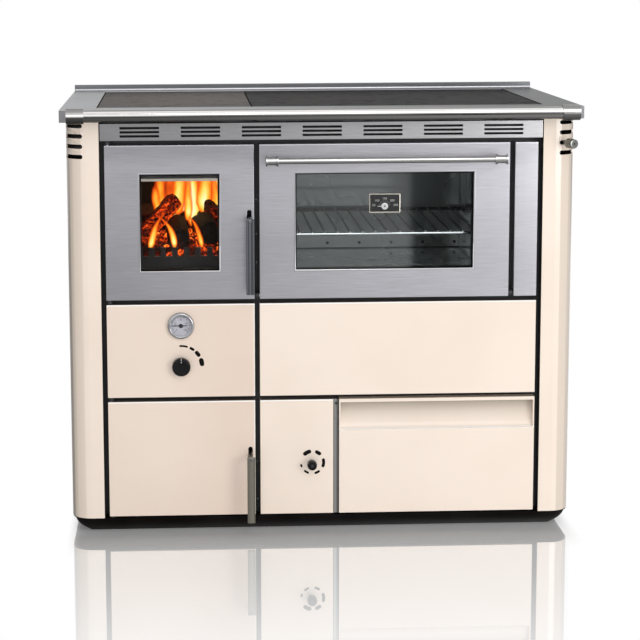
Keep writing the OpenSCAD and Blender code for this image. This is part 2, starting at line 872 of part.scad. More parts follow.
module damper_lever() {
    color(chrome) translate([post_cx, post_cy, damper_z]) difference() {
        union() {
            translate([0, 0, -5]) cylinder(r = pin_r + 4, h = 10);
            rotate([0, 0, damper_rest]) rotate([90, 0, 0]) {
                translate([0, 0, pin_r + 2]) cylinder(r = damper_rod_r, h = damper_reach);
                translate([0, 0, damper_reach - damper_knob_l / 2])
                    cylinder(r = damper_knob_r, h = damper_knob_l);
            }
        }
        translate([0, 0, -6]) cylinder(r = pin_r + run_c, h = 12);
    }
}

// Wood drawer

module drawer_front() {
    x0 = drawer_x0;
    x1 = right_x1;
    lip_z = row3_top - grip_h;
    cap = 3;
    color(cream) difference() {
        pan_closed(x0, x1, row3_z, row3_top);
        translate([x0 + cap, 0, 0]) rotate([90, 0, 90]) linear_extrude(x1 - x0 - 2 * cap)
            polygon([
                [front_y - eps, lip_z],
                [front_y, lip_z],
                for (a = [0 : 10 : 90]) [
                    front_y + grip_d * sin(a),
                    lip_z + (grip_h - grip_lip) * (1 - cos(a))
                ],
                [front_y - eps, row3_top - grip_lip]
            ]);
    }
}

// Solid insulated front, hollowed only behind the flat part
module pan_closed(x0, x1, z0, z1) {
    difference() {
        block([x0, front_y, z0], [x1, front_y + door_t, z1]);
        block([x0 + sheet_t, front_y + skin_t, z0 + sheet_t],
              [x1 - sheet_t, front_y + door_t + eps, z1 - grip_h - sheet_t]);
    }
}

module drawer_box() {
    x0 = dr_x0 + drawer_play;
    x1 = dr_x1 - drawer_play;
    z0 = dr_z0 + drawer_play;
    z1 = dr_z1 - drawer_play;
    y0 = front_y + door_t;
    color(iron) difference() {
        block([x0, y0, z0], [x1, y0 + drawer_d, z1]);
        block([x0 + sheet_t, y0 + sheet_t, z0 + sheet_t], [x1 - sheet_t, y0 + drawer_d - sheet_t, z1 + eps]);
    }
}

module drawer_runners() {
    z1 = dr_z0 + drawer_play - seat_c;
    color(iron) for (x = [dr_x0 + drawer_play, dr_x1 - drawer_play - 20])
        block([x, inner_y, base_z], [x + 20, inner_y + drawer_d - 40, z1]);
}

// Boiler, firebox and what stands in them

nipples = [
    [boiler_x0 + 60, boiler_z1 - 50, flow_r],
    [boiler_x0 + 60, boiler_z0 + 60, flow_r],
    [boiler_x1 - 90, boiler_z1 - 50, coil_r],
    [boiler_x1 - 40, boiler_z1 - 50, coil_r],
    [boiler_x1 - 60, boiler_z0 + 60, coil_r]
];

// Outer plate of the water jacket, with the bottom plate that carries the firebox and the grate
module boiler_shell() {
    t = boiler_t;
    ledge = brick_t + 10;
    color(iron) difference() {
        block([boiler_x0, inner_y, boiler_z0], [boiler_x1, boiler_y1, boiler_z1]);
        block([boiler_x0 + t, inner_y + t, grate_z], [boiler_x1 - t, boiler_y1 - t, boiler_z1 - t]);
        block([fire_x0 - t, inner_y - eps, grate_z], [fire_x1 + t, fire_y1 + t, boiler_z1 + eps]);
        block([fire_x0 + ledge, inner_y + ledge, boiler_z0 - eps], [fire_x1 - ledge, fire_y1 - ledge, grate_z + eps]);
        for (n = nipples) rod_y(n[0], boiler_y1 - t - eps, boiler_y1 + eps, n[1], n[2] - 3);
    }
}

module firebox() {
    t = boiler_t;
    color(iron) difference() {
        block([fire_x0 - t, inner_y, grate_z], [fire_x1 + t, fire_y1 + t, boiler_z1]);
        block([fire_x0, inner_y - eps, grate_z - eps], [fire_x1, fire_y1, boiler_z1 + eps]);
    }
}

module boiler_sockets() {
    y1 = back_y + nipple_out;
    color("goldenrod") for (n = nipples) difference() {
        rod_y(n[0], boiler_y1, y1, n[1], n[2] + nipple_t);
        rod_y(n[0], y1 - thread_l, y1 + eps, n[1], n[2]);
        rod_y(n[0], boiler_y1 - eps, y1, n[1], n[2] - 3);
    }
}

bed_y0 = inner_y + 26;

module fire_bricks() {
    color(brick) {
        for (x = [fire_x0, fire_x1 - brick_t])
            block([x, bed_y0, grate_z], [x + brick_t, fire_y1 - brick_t, grate_z + brick_h]);
        block([fire_x0, fire_y1 - brick_t, grate_z], [fire_x1, fire_y1, grate_z + brick_h]);
    }
}

// Cast grate, and the notched log guard that stands in front of it
module grate() {
    x0 = fire_x0 + brick_t + 2;
    x1 = fire_x1 - brick_t - 2;
    y1 = fire_y1 - brick_t - 2;
    guard_y = inner_y + 14;
    tooth = 12;
    notch = 18;
    teeth = floor((fire_x1 - fire_x0 - 2 * tooth) / (2 * tooth));
    color(iron) {
        difference() {
            block([x0, bed_y0, grate_z], [x1, y1, grate_z + grate_t]);
            for (y = [bed_y0 + 20 : 24 : y1 - 30])
                block([x0 + 15, y, grate_z - eps], [x1 - 15, y + 12, grate_z + grate_t + eps]);
        }
        difference() {
            block([fire_x0 + 2, guard_y, grate_z], [fire_x1 - 2, guard_y + 8, grate_z + guard_h]);
            for (i = [0 : teeth - 1])
                block([fire_x0 + 1.5 * tooth + i * 2 * tooth, guard_y - eps, grate_z + guard_h - notch],
                      [fire_x0 + 2.5 * tooth + i * 2 * tooth, guard_y + 9, grate_z + guard_h + eps]);
        }
    }
}

// Open box that carries the boiler
module ash_box() {
    t = sheet_t;
    color(iron) difference() {
        block([boiler_x0, inner_y, base_z], [boiler_x1, boiler_y1, boiler_z0]);
        block([boiler_x0 + t, inner_y - eps, base_z - eps], [boiler_x1 - t, boiler_y1 - t, boiler_z0 + eps]);
    }
}

module ash_pan() {
    t = sheet_t;
    x0 = fire_x0 + 8;
    x1 = fire_x1 - 8;
    y0 = inner_y + 8;
    y1 = fire_y1 - 40;
    color(steel) difference() {
        block([x0, y0, base_z], [x1, y1, base_z + pan_h]);
        block([x0 + t, y0 + t, base_z + t], [x1 - t, y1 - t, base_z + pan_h + eps]);
    }
}

cross_r = 3.5;

// Oven cavity with the two side rails that carry its rack
module oven_liner() {
    t = sheet_t;
    rail_w = 12;
    rail_t = 5;
    color(iron) {
        difference() {
            block([oven_x0 - t, inner_y, oven_z0 - t], [oven_in_x1 + t, oven_y1 + t, oven_z1 + t]);
            block([oven_x0, inner_y - eps, oven_z0], [oven_in_x1, oven_y1, oven_z1]);
        }
        for (x = [oven_x0 - 1, oven_in_x1 - rail_w])
            block([x, inner_y + 10, rack_z - cross_r - rail_t], [x + rail_w + 1, oven_y1, rack_z - cross_r]);
    }
}

module oven_rack() {
    y0 = inner_y + 22;
    y1 = oven_y1 - 20;
    first = oven_mid - (wires - 1) * wire_gap / 2;
    color(steel) {
        for (y = [y0, y1]) rod_x(oven_x0 + 2, oven_in_x1 - 2, y, rack_z, cross_r);
        for (i = [0 : wires - 1]) rod_y(first + i * wire_gap, y0, y1, rack_z + cross_r, wire_d / 2);
    }
}

// Flue box behind the oven, with a neck through the back panel and the spigot for the flue pipe
module flue() {
    t = flue_t;
    x0 = flue_x - flue_r - 6;
    x1 = flue_x + flue_r + 6;
    y0 = oven_y1 + sheet_t;
    y1 = back_y - sheet_t;
    color(iron) difference() {
        union() {
            block([x0, y0, flue_z - flue_r - 6], [x1, y1, flue_z + flue_r + 6]);
            rod_y(flue_x, y1 - 1, back_y + sheet_t, flue_z, flue_r + flue_neck);
            rod_y(flue_x, y1, back_y + flue_out, flue_z, flue_r);
        }
        block([x0 + t, y0 - eps, flue_z - flue_r - 6 + t], [x1 - t, y1 - t, flue_z + flue_r + 6 - t]);
        rod_y(flue_x, y0, back_y + flue_out + eps, flue_z, flue_r - t);
    }
}

plinth();
base_plate();
corner_posts();
side_panels();
back_panel();
front_frame();
fascia();
worktop();
cooking_plate_left();
cooking_plate_right();
upstand();
handrail();
handrail_sockets();
narrow_panel();
boiler_panel();
soot_panel();
air_panel();
divider_strip();
hinge_lugs();
fire_door();
fire_door_liner();
fire_glass();
fire_seal();
fire_door_pins();
fire_handle();
oven_door();
oven_door_liner();
oven_glass();
oven_seal();
oven_door_pins();
oven_bar();
oven_bar_ends();
oven_thermometer();
oven_pointer();
ash_door();
ash_door_liner();
ash_seal();
ash_door_pins();
ash_handle();
gauge_bezel();
gauge_dial();
gauge_glass();
gauge_pointer();
draught_knob();
air_knob();
damper_pivot();
damper_lever();
drawer_front();
drawer_box();
drawer_runners();
boiler_shell();
firebox();
boiler_sockets();
fire_bricks();
grate();
ash_box();
ash_pan();
oven_liner();
oven_rack();
flue();
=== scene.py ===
"""Hydronic wood stove: a wood-fired kitchen range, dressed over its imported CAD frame, in metres."""
import math
import random

import bmesh
import bpy
from mathutils import Matrix, Vector, noise


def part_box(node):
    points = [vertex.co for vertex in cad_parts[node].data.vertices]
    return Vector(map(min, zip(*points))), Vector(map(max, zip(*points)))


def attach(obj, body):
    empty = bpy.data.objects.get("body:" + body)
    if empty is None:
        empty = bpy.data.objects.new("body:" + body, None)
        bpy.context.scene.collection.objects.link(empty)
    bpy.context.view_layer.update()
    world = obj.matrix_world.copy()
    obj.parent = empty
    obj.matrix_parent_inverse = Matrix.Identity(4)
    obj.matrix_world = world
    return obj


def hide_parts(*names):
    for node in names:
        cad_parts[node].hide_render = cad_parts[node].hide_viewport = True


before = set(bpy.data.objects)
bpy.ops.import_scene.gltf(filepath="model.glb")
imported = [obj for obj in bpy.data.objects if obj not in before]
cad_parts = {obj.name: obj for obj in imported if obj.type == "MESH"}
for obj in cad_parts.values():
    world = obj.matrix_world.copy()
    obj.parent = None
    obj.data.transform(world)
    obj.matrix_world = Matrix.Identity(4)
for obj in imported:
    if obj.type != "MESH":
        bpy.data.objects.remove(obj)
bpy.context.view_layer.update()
mm = 0.001


# The plinth is a ring of folded sheet under the casing, set back from the doors, with the base plate on it.
# Both are sprayed satin black, so they get a thin, slightly dusty paint with the grain of the spray in it.
class Wire:
    """One value on its way through a shader; sums and products of wires become Math nodes."""

    def __init__(self, tree, socket):
        self.tree, self.socket = tree, socket

    def math(self, operation, first, second=0.0):
        node = self.tree.nodes.new("ShaderNodeMath")
        node.operation = operation
        for socket, value in zip(node.inputs, (first, second)):
            if isinstance(value, Wire):
                self.tree.links.new(value.socket, socket)
            else:
                socket.default_value = value
        return Wire(self.tree, node.outputs[0])

    def __add__(self, other):
        return self.math("ADD", self, other)

    def __mul__(self, other):
        return self.math("MULTIPLY", self, other)

    def __sub__(self, other):
        return self.math("SUBTRACT", self, other)

    def __rsub__(self, other):
        return self.math("SUBTRACT", other, self)

    def __truediv__(self, other):
        return self.math("DIVIDE", self, other)

    def __lt__(self, other):
        return self.math("LESS_THAN", self, other)

    def __gt__(self, other):
        return self.math("GREATER_THAN", self, other)

    def __abs__(self):
        return self.math("ABSOLUTE", self)

    def root(self):
        return self.math("SQRT", self)

    def at_least(self, low):
        return self.math("MAXIMUM", self, low)

    __radd__ = __add__
    __rmul__ = __mul__


class Finish:
    """A procedural finish: a Principled shader, its fixed values and the maps that feed it."""

    def __init__(self, name, **fixed):
        self.material = bpy.data.materials.new(name)
        self.material.use_nodes = True
        self.tree = self.material.node_tree
        self.shader = self.tree.nodes["Principled BSDF"]
        for key, value in fixed.items():
            self.shader.inputs[key.replace("_", " ")].default_value = value

    def node(self, kind, settings, values, out=0):
        node = self.tree.nodes.new("ShaderNode" + kind)
        for key, value in settings.items():
            if key == "stops":
                while len(node.color_ramp.elements) < len(value):
                    node.color_ramp.elements.new(0.5)
                for element, (place, colour) in zip(node.color_ramp.elements, value):
                    element.position = place
                    element.color = (*colour, 1.0)
            else:
                setattr(node, key, value)
        for key, value in values.items():
            if isinstance(value, Wire):
                self.tree.links.new(value.socket, node.inputs[key])
            else:
                node.inputs[key].default_value = value
        return Wire(self.tree, node.outputs[out])

    def feed(self, **maps):
        for key, wire in maps.items():
            self.tree.links.new(wire.socket, self.shader.inputs[key.replace("_", " ")])

    def place(self, scale=(1.0, 1.0, 1.0)):
        """The piece's own coordinates, in metres, stretched by scale."""
        coords = self.node("TexCoord", {}, {}, "Object")
        return self.node("Mapping", {}, {"Vector": coords, "Scale": scale})

    def axis(self, letter):
        """The piece's own coordinate along one axis, in metres."""
        return self.node("SeparateXYZ", {}, {"Vector": self.place()}, letter)

    def facing(self, letter):
        """1 where the surface faces the way of an axis, -1 where it faces the other way."""
        return self.node("SeparateXYZ", {}, {"Vector": self.node("NewGeometry", {}, {}, "Normal")}, letter)

    def noise(self, size, detail=2.0, scale=(1.0, 1.0, 1.0), rough=0.5):
        """Noise whose lumps are about size metres across."""
        values = {"Vector": self.place(scale), "Scale": 1.0 / size, "Detail": detail, "Roughness": rough}
        return self.node("TexNoise", {}, values)

    def step(self, value, low, high):
        """0 below low, 1 above high and smooth between."""
        settings = {"interpolation_type": "SMOOTHSTEP"}
        return self.node("MapRange", settings, {"Value": value, "From Min": low, "From Max": high})

    def patches(self, low, high, size, detail, rough=0.5):
        """Soft patches about size metres across: 0 where their noise is under low, 1 over high."""
        return self.step(self.noise(size, detail, rough=rough), low, high)

    def blend(self, factor, first, second):
        """Colour that goes from first to second with the factor."""
        first, second = (c if isinstance(c, Wire) else (*c, 1.0) for c in (first, second))
        return self.node("Mix", {"data_type": "RGBA"}, {0: factor, 6: first, 7: second}, 2)

    def scaled(self, colour, factor):
        """Colour made darker or paler by a wire."""
        return self.node("VectorMath", {"operation": "SCALE"}, {0: colour, "Scale": factor})

    def ramp(self, stops, wire):
        """Colour that runs through stops, pairs of (place, colour), as the wire goes from 0 to 1."""
        return self.node("ValToRGB", {"stops": stops}, {"Fac": wire}, 0)

    def base(self):
        """The colour that feeds the shader so far, to be worked over and fed again."""
        return Wire(self.tree, self.shader.inputs["Base Color"].links[0].from_socket)

    def bump(self, height, strength, depth):
        return self.node("Bump", {}, {"Height": height, "Strength": strength, "Distance": depth})


def toned(colour, factor):
    """A plain colour made darker or paler, never past white."""
    return tuple(min(1.0, c * factor) for c in colour)


def painted(name, colour, roughness, grain, coat=0.0, gloss=0.35):
    """Sprayed metal paint: faint clouds in colour, dust in the roughness and the spray's grain as bump."""
    finish = Finish(name, Coat_Weight=coat, Coat_Roughness=0.12, Specular_IOR_Level=gloss)
    clouds = finish.patches(0.3, 0.7, 0.09, 4.0)
    pale = tuple(min(1.0, c * 1.12 + 0.004) for c in colour)
    finish.feed(
        Base_Color=finish.blend(clouds, toned(colour, 0.88), pale),
        Roughness=roughness + 0.12 * (finish.noise(0.03, 5.0, rough=0.7) - 0.5),
        Normal=finish.bump(finish.noise(grain, 3.0), 0.25, grain * 0.12),
    )
    return finish


def soften(piece, edge):
    """Breaks a piece's sharp edges as a file or a press would, and evens the light on its flat faces."""
    weld = piece.modifiers.new("seams", "WELD")
    weld.merge_threshold = 0.005 * mm
    flat = piece.modifiers.new("flats", "DECIMATE")
    flat.decimate_type, flat.angle_limit = "DISSOLVE", math.radians(0.6)
    bevel = piece.modifiers.new("edges", "BEVEL")
    bevel.width, bevel.segments, bevel.limit_method = edge, 2, "ANGLE"
    bevel.angle_limit, bevel.use_clamp_overlap = math.radians(32), False
    even = piece.modifiers.new("light", "WEIGHTED_NORMAL")
    even.keep_sharp = False
    piece.data.shade_smooth()


def dress(finish, *names, edge):
    """Gives CAD nodes their finish and broken edges."""
    for name in names:
        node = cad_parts[name]
        for holder in node.material_slots:
            holder.material = finish.material
        if edge:
            soften(node, edge)


plinth_black = painted("plinth_black", (0.0032, 0.0020, 0.0016), 0.55, 0.9 * mm, gloss=0.04)
dress(plinth_black, "plinth", "base_plate", edge=0.6 * mm)


# The casing is two side panels of brushed stainless sheet and a painted back panel, screwed to the frame all
# round. Two pressed beads stiffen the back, and a rosette closes the gap round the flue's neck.
forward, backward = Vector((0, -1, 0)), Vector((0, 1, 0))


class Work:
    """A piece being made: points and faces are collected, then made into one object."""

    def __init__(self):
        self.points, self.faces, self.heat = [], [], []

    def skin(self, rings, loop=False):
        """Joins equal rings of points one after the other, in a loop or with a face over each end."""
        first, size = len(self.points), len(rings[0])
        for ring in rings:
            self.points.extend(Vector(point) for point in ring)
        for i in range(len(rings) if loop else len(rings) - 1):
            here, there = first + i * size, first + (i + 1) % len(rings) * size
            for j in range(size):
                k = (j + 1) % size
                self.faces.append((here + j, here + k, there + k, there + j))
        if not loop:
            last = first + (len(rings) - 1) * size
            self.faces.append(tuple(reversed(range(first, first + size))))
            self.faces.append(tuple(range(last, last + size)))
        return self

    def block(self, low, high):
        (x0, y0, z0), (x1, y1, z1) = low, high
        return self.skin([[(x0, y0, z), (x1, y0, z), (x1, y1, z), (x0, y1, z)] for z in (z0, z1)])

    def turned(self, centre, axis, profile, sides, loop=False):
        """Turns pairs of (distance along the axis, radius); a radius may be a function of the angle."""
        centre, axis = Vector(centre), Vector(axis).normalized()
        side = axis.orthogonal().normalized()
        across = axis.cross(side)
        rings = []
        for along, radius in profile:
            ring = []
            for angle in (math.tau * j / sides for j in range(sides)):
                reach = radius(angle) if callable(radius) else radius
                way = side * math.cos(angle) + across * math.sin(angle)
                ring.append(centre + axis * along + way * reach)
            rings.append(ring)
        return self.skin(rings, loop)

    def tube(self, path, radius, sides, squash=1.0):
        """Sweeps a round bar along a closed path that faces forward; squash flattens it, front to back."""
        rings = []
        for behind, point, ahead in zip(path[-1:] + path, path, path[1:] + path[:1]):
            side = (ahead - behind).cross(backward).normalized()
            over = side.cross(ahead - behind).normalized() * squash
            turn = (math.tau * j / sides for j in range(sides))
            rings.append([point + (side * math.cos(a) + over * math.sin(a)) * radius for a in turn])
        return self.skin(rings, True)

    def make(self, name, finish, body, slot, *replaced, edge=0.0):
        mesh = bpy.data.meshes.new(name)
        mesh.from_pydata(self.points, [], self.faces)
        shape = bmesh.new()
        shape.from_mesh(mesh)
        bmesh.ops.recalc_face_normals(shape, faces=shape.faces)
        shape.to_mesh(mesh)
        shape.free()
        mesh.materials.append(finish.material)
        if self.heat:
            mesh.attributes.new("warmth", "FLOAT", "POINT").data.foreach_set("value", self.heat)
        mesh.shade_smooth()
        mesh.set_sharp_from_angle(angle=math.radians(38))
        piece = bpy.data.objects.new(name, mesh)
        bpy.context.scene.collection.objects.link(piece)
        if edge:
            soften(piece, edge)
        if replaced:
            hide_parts(*replaced)
        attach(piece, body)


def hexagon(flat):
    """Radius of a hexagon, by angle, from half the distance across its flats."""
    return lambda angle: flat / math.cos((angle + math.pi / 6) % (math.pi / 3) - math.pi / 6)


def screw(work, centre, axis, radius, height=0.55):
    """Button-head screw with a hexagon socket."""
    r, h = radius, radius * height
    crown = [(0.0, r), (0.35 * h, r), (0.75 * h, 0.86 * r), (h, 0.6 * r)]
    socket = [(h, hexagon(0.42 * r)), (0.4 * h, hexagon(0.40 * r))]
    return work.turned(centre, axis, crown + socket, 24)


def brushed(name, colour, grain, roughness=0.3, grazing=1.0, sweep=(1.0, 1.0)):
    """Satin stainless sheet: scratches along the grain, over a painted sheen that sweeps from left to right.
    """
    finish = Finish(name, Metallic=1.0, Specular_Tint=(grazing, grazing, grazing, 1.0))
    fine = finish.noise(0.9 * mm, 3.0, grain, 0.65)
    bands = finish.noise(0.16, 2.0, tuple(max(g, 0.25) for g in grain))
    streaks = finish.step(fine * 0.65 + bands * 0.35, 0.32, 0.68)
    # Painted sheen: the colour is scaled from sweep's first value at the left to its second at the right.
    sheen = finish.step(finish.axis("X"), -0.6, 0.6) * (sweep[1] - sweep[0]) + sweep[0]
    finish.feed(
        Base_Color=finish.scaled(finish.blend(streaks, toned(colour, 0.86), toned(colour, 1.1)), sheen),
        Roughness=roughness + 0.16 * (fine - 0.5) + 0.08 * (bands - 0.5),
        Normal=finish.bump(fine, 0.12, 0.05 * mm),
    )
    return finish


def profile(*pairs):
    """Outline in metres from pairs in millimetres; a radius that is a function stays as it is."""
    return [(along * mm, radius if callable(radius) else radius * mm) for along, radius in pairs]


def middle(node, y=None):
    """The middle of a node's box, or the spot before or behind it in the upright plane at y."""
    low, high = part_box(node)
    spot = (low + high) / 2
    return spot if y is None else Vector((spot.x, y, spot.z))


def round_about(degrees):
    """Way out from the middle of an upright face, anticlockwise from the right as seen from the front."""
    angle = math.radians(degrees)
    return Vector((math.cos(angle), 0, math.sin(angle)))


def rounded(low, high, corner, steps):
    """Points, in x and z, all the way round a rectangle with round corners."""
    points = []
    for quarter, (right, top) in enumerate(((True, True), (False, True), (False, False), (True, False))):
        x = high[0] - corner if right else low[0] + corner
        z = high[1] - corner if top else low[1] + corner
        for i in range(steps):
            way = round_about(90 * (quarter + i / (steps - 1))) * corner
            points.append((x + way.x, z + way.z))
    return points


steel_grey = (0.44, 0.435, 0.465)
along_x, along_z = (0.015, 1.0, 1.0), (1.0, 1.0, 0.015)
side_steel = brushed("side_steel", steel_grey, along_z)
heat_black = painted("heat_black", (0.022, 0.022, 0.024), 0.62, 0.6 * mm)
screw_steel = painted("screw_steel", (0.18, 0.18, 0.19), 0.35, 0.5 * mm)
screw_steel.shader.inputs["Metallic"].default_value = 1.0
dress(side_steel, "side_panels", edge=0.4 * mm)
dress(heat_black, "back_panel", edge=0.4 * mm)

(back_left, _, back_low), (back_right, back_face, back_high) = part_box("back_panel")
flue_mid = middle("flue", back_face)
screws, inset, gaps = Work(), 14 * mm, 6
rows, cols = ([low + inset + i * (high - low - 2 * inset) / gaps for i in range(gaps + 1)]
              for low, high in ((back_low, back_high), (back_left, back_right)))
for x in cols:
    for z in rows:
        if x in (cols[0], cols[-1]) or z in (rows[0], rows[-1]):
            screw(screws, (x, back_face, z), backward, 4.2 * mm)
ring_thick, ring_screws, ring_reach = 1.4, 6, 90 * mm
for i in range(ring_screws):
    spot = flue_mid + round_about(360 * (i + 0.5) / ring_screws) * ring_reach
    screw(screws, spot + backward * ring_thick * mm, backward, 3.4 * mm)
screws.make("back_screws", screw_steel, "root", "chrome")
ring = profile((0, 80), (0, 98), (0.6 * ring_thick, 98), (ring_thick, 98 - 0.4 * ring_thick),
               (ring_thick, 80))
rosette = Work().turned(flue_mid, backward, ring, 96, True)
rosette.make("flue_rosette", heat_black, "root", "boiler_steel")
beads = Work()
lower_bead, upper_bead = ((-0.46, 0.10), (0.46, 0.44)), ((-0.13, 0.50), (0.075, 0.82))
for low, high in (lower_bead, upper_bead):
    route = [Vector((x, back_face, z)) for x, z in rounded(low, high, 30 * mm, 9)]
    beads.tube(route, 5 * mm, 12, 0.36)
beads.make("back_beads", heat_black, "root", "boiler_steel")


# The two rounded corner posts are folded from sheet and fired with cream enamel, like the panels between
# them. The enamel is glossy and barely wavy, with faint clouds and specks in its colour.
def enamelled(name, colour, detail=None):
    """Cream enamel; detail may repaint it with painted light and shade, from the finish and the colour so
    far.
    """
    finish = Finish(name, Coat_Weight=0.35, Coat_Roughness=0.06, Specular_IOR_Level=0.35)
    deep = tuple(c * k for c, k in zip(colour, (0.972, 0.965, 0.955)))
    clouds = finish.blend(finish.patches(0.3, 0.7, 0.22, 3.0), deep, toned(colour, 1.012))
    shown = finish.blend(finish.patches(0.78, 0.82, 0.7 * mm, 1.0) * 0.12, clouds, toned(colour, 0.6))
    finish.feed(
        Base_Color=detail(finish, shown) if detail else shown,
        Roughness=0.24 + 0.1 * (finish.noise(0.05, 4.0) - 0.5),
        Normal=finish.bump(finish.noise(2.4 * mm, 2.0), 0.10, 0.08 * mm),
    )
    return finish


def post_detail(finish, shown):
    """Painted shade: upright bands where a post turns sideways, and its sheet's inner face painted near
    black.
    """
    sideways = abs(finish.facing("X"))
    x, y = map(finish.axis, "XY")
    # Painted shade: each band darkens the cream, by its first value on the left post and its second on the
    # right.
    for low, high, *tones in ((0.24, 0.34, 0.88, 0.80), (0.64, 0.76, 0.71, 0.64), (0.80, 0.88, 0.34, 0.50),
                              (0.985, 0.998, 0.80, 0.80)):
        left, right = (tuple(c * tone * k for c, k in zip(cream_paint, (1.0, 0.985, 0.96))) for tone in tones)
        shown = finish.blend(finish.step(sideways, low, high), shown, finish.blend(x > 0.0, left, right))
    post_low, post_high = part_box("corner_posts")
    bend, sheet = 42 * mm, 3 * mm
    past_x = (abs(x) - (post_high.x - bend)).at_least(0.0)
    past_y = ((post_low.y + bend) - y).at_least(0.0)
    reach = (past_x * past_x + past_y * past_y).root()
    # Painted shade: the sheet's inner face, seen through the slots, is painted near black.
    enamel = finish.step(reach, bend - 0.97 * sheet, bend - 0.88 * sheet)
    return finish.blend(enamel, (0.006, 0.005, 0.005), shown)


def panel_detail(finish, shown):
    """Painted shade makes the panels under the fire door darker, most of all towards the middle of the stove.
    Painted highlights run along their rolled upper edges and right edge; flat faces on top are painted dark
    as shade."""
    x, z = map(finish.axis, "XZ")
    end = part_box("boiler_panel")[1].x
    under_fire = 1.0 - finish.step(x, end + 1 * mm, end + 4 * mm)
    depth = under_fire * (0.5 + 0.5 * finish.step(x, end - 0.2, end))
    # Painted shade: the cream under the fire door is darkened, most towards the middle of the stove.
    shaded_cream = finish.node("VectorMath", {"operation": "MULTIPLY"}, {0: shown, 1: (0.90, 0.85, 0.83)})
    shown = finish.blend(depth, shown, shaded_cream)
    # Painted highlight along the rolled top edge of each panel.
    for head in (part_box("boiler_panel")[1].z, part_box("ash_door")[1].z):
        rolled = finish.step(z, head - 3.4 * mm, head - 2.0 * mm) * (z < head + 1 * mm)
        shown = finish.blend(rolled * 0.85, shown, (1.0, 0.96, 0.94))
    # Painted highlight down the right edge of the panels under the fire door.
    side = finish.step(x, end - 2.8 * mm, end - 1.4 * mm) * under_fire
    shown = finish.blend(side * 0.7, shown, (0.95, 0.93, 0.88))
    # Painted shade: faces that look up are painted dark.
    return finish.blend(finish.step(finish.facing("Z"), 0.8, 0.96), shown, (0.12, 0.10, 0.085))


cream_paint = (0.86, 0.745, 0.645)
cream = enamelled("cream_enamel", cream_paint, panel_detail)
dress(enamelled("post_enamel", cream_paint, post_detail), "corner_posts", edge=0)


# The boiler jacket wraps the firebox with water, and sockets for flow, return and safety coil are welded to
# its back. The jacket, the ash box and the flue are plate in heat-proof black; the sockets are turned brass.
def sooty(name, colour, ash):
    """Heat-proof black with soot, and pale ash that has settled on what faces up."""
    finish = Finish(name, Specular_IOR_Level=0.3)
    soot = finish.patches(0.35, 0.75, 0.035, 5.0, 0.65)
    dusted = finish.step(finish.facing("Z"), 0.35, 0.95) * finish.patches(0.35, 0.6, 9 * mm, 4.0) * ash
    black = finish.blend(soot, toned(colour, 0.6), toned(colour, 1.5))
    finish.feed(
        Base_Color=finish.blend(dusted, black, (0.33, 0.31, 0.29)),
        Roughness=0.68 + 0.3 * (soot - 0.5),
        Normal=finish.bump(finish.noise(1.6 * mm, 4.0, rough=0.7), 0.5, 0.25 * mm),
    )
    return finish


brass = Finish("turned_brass", Metallic=1.0)
lathe_lines = brass.noise(0.5 * mm, 2.0, (0.1, 1.0, 0.1))
brass.feed(
    Base_Color=brass.blend(brass.noise(0.012, 3.0), (0.50, 0.34, 0.13), (0.78, 0.58, 0.27)),
    Roughness=0.22 + 0.2 * lathe_lines,
    Normal=brass.bump(lathe_lines, 0.2, 0.06 * mm),
)
soot_black = sooty("soot_black", (0.020, 0.019, 0.018), 0.25)
dress(heat_black, "boiler_shell", "ash_box", "flue", "drawer_runners", edge=0.5 * mm)
dress(soot_black, "firebox", edge=0.5 * mm)
dress(brass, "boiler_sockets", edge=0.4 * mm)


# The fire stands on a cast grate inside a lining of vermiculite fire bricks, behind a toothed log guard.
# The bricks are pressed boards, stained by smoke towards the top, with the joints between them left dry.
brick_foot, brick_tall, brick_back, brick_wide = 0.470, 0.085, 0.140, 0.119
fire_brick = Finish("fire_brick", Specular_IOR_Level=0.2)
y, z = map(fire_brick.axis, "YZ")
courses, stands = (z - brick_foot) / brick_tall, (y - brick_back) / brick_wide
joint = fire_brick.step(courses.math("PINGPONG", courses, 0.5), 0.0, 0.022)
joint = joint * fire_brick.step(stands.math("PINGPONG", stands, 0.5), 0.0, 0.016)
flakes = fire_brick.node("TexVoronoi", {}, {"Vector": fire_brick.place(), "Scale": 240.0})
smoke = fire_brick.step(z + 0.06 * (fire_brick.noise(0.05, 4.0) - 0.5), 0.50, 0.66)
clay = fire_brick.blend(flakes, (0.30, 0.20, 0.12), (0.50, 0.38, 0.25))
stained = fire_brick.blend(smoke * 0.85, clay, (0.035, 0.030, 0.028))
fire_brick.feed(
    Base_Color=fire_brick.blend(joint, (0.02, 0.015, 0.012), stained),
    Roughness=0.8 + 0.2 * flakes,
    Normal=fire_brick.bump(joint + 0.12 * flakes, 0.8, 1.2 * mm),
)
grate_iron = sooty("grate_iron", (0.018, 0.018, 0.020), 0.35)
dress(fire_brick, "fire_bricks", edge=1.2 * mm)
dress(grate_iron, "grate", edge=0.8 * mm)


# Galvanised ash pan, folded from thin sheet; zinc crystals show as soft patches of grey.
galvanised = Finish("galvanised", Metallic=1.0)
cells = {"Vector": galvanised.place(), "Scale": 95.0}
spangle = galvanised.node("TexVoronoi", {"feature": "SMOOTH_F1"}, cells, "Color")
crystal = galvanised.node("SeparateColor", {}, {"Color": spangle}, "Red")
galvanised.feed(
    Base_Color=galvanised.blend(crystal, (0.34, 0.35, 0.37), (0.52, 0.53, 0.55)),
    Roughness=0.32 + 0.2 * crystal,
    Normal=galvanised.bump(galvanised.noise(3 * mm, 3.0), 0.1, 0.1 * mm),
)
dress(galvanised, "ash_pan", "drawer_box", edge=0.3 * mm)


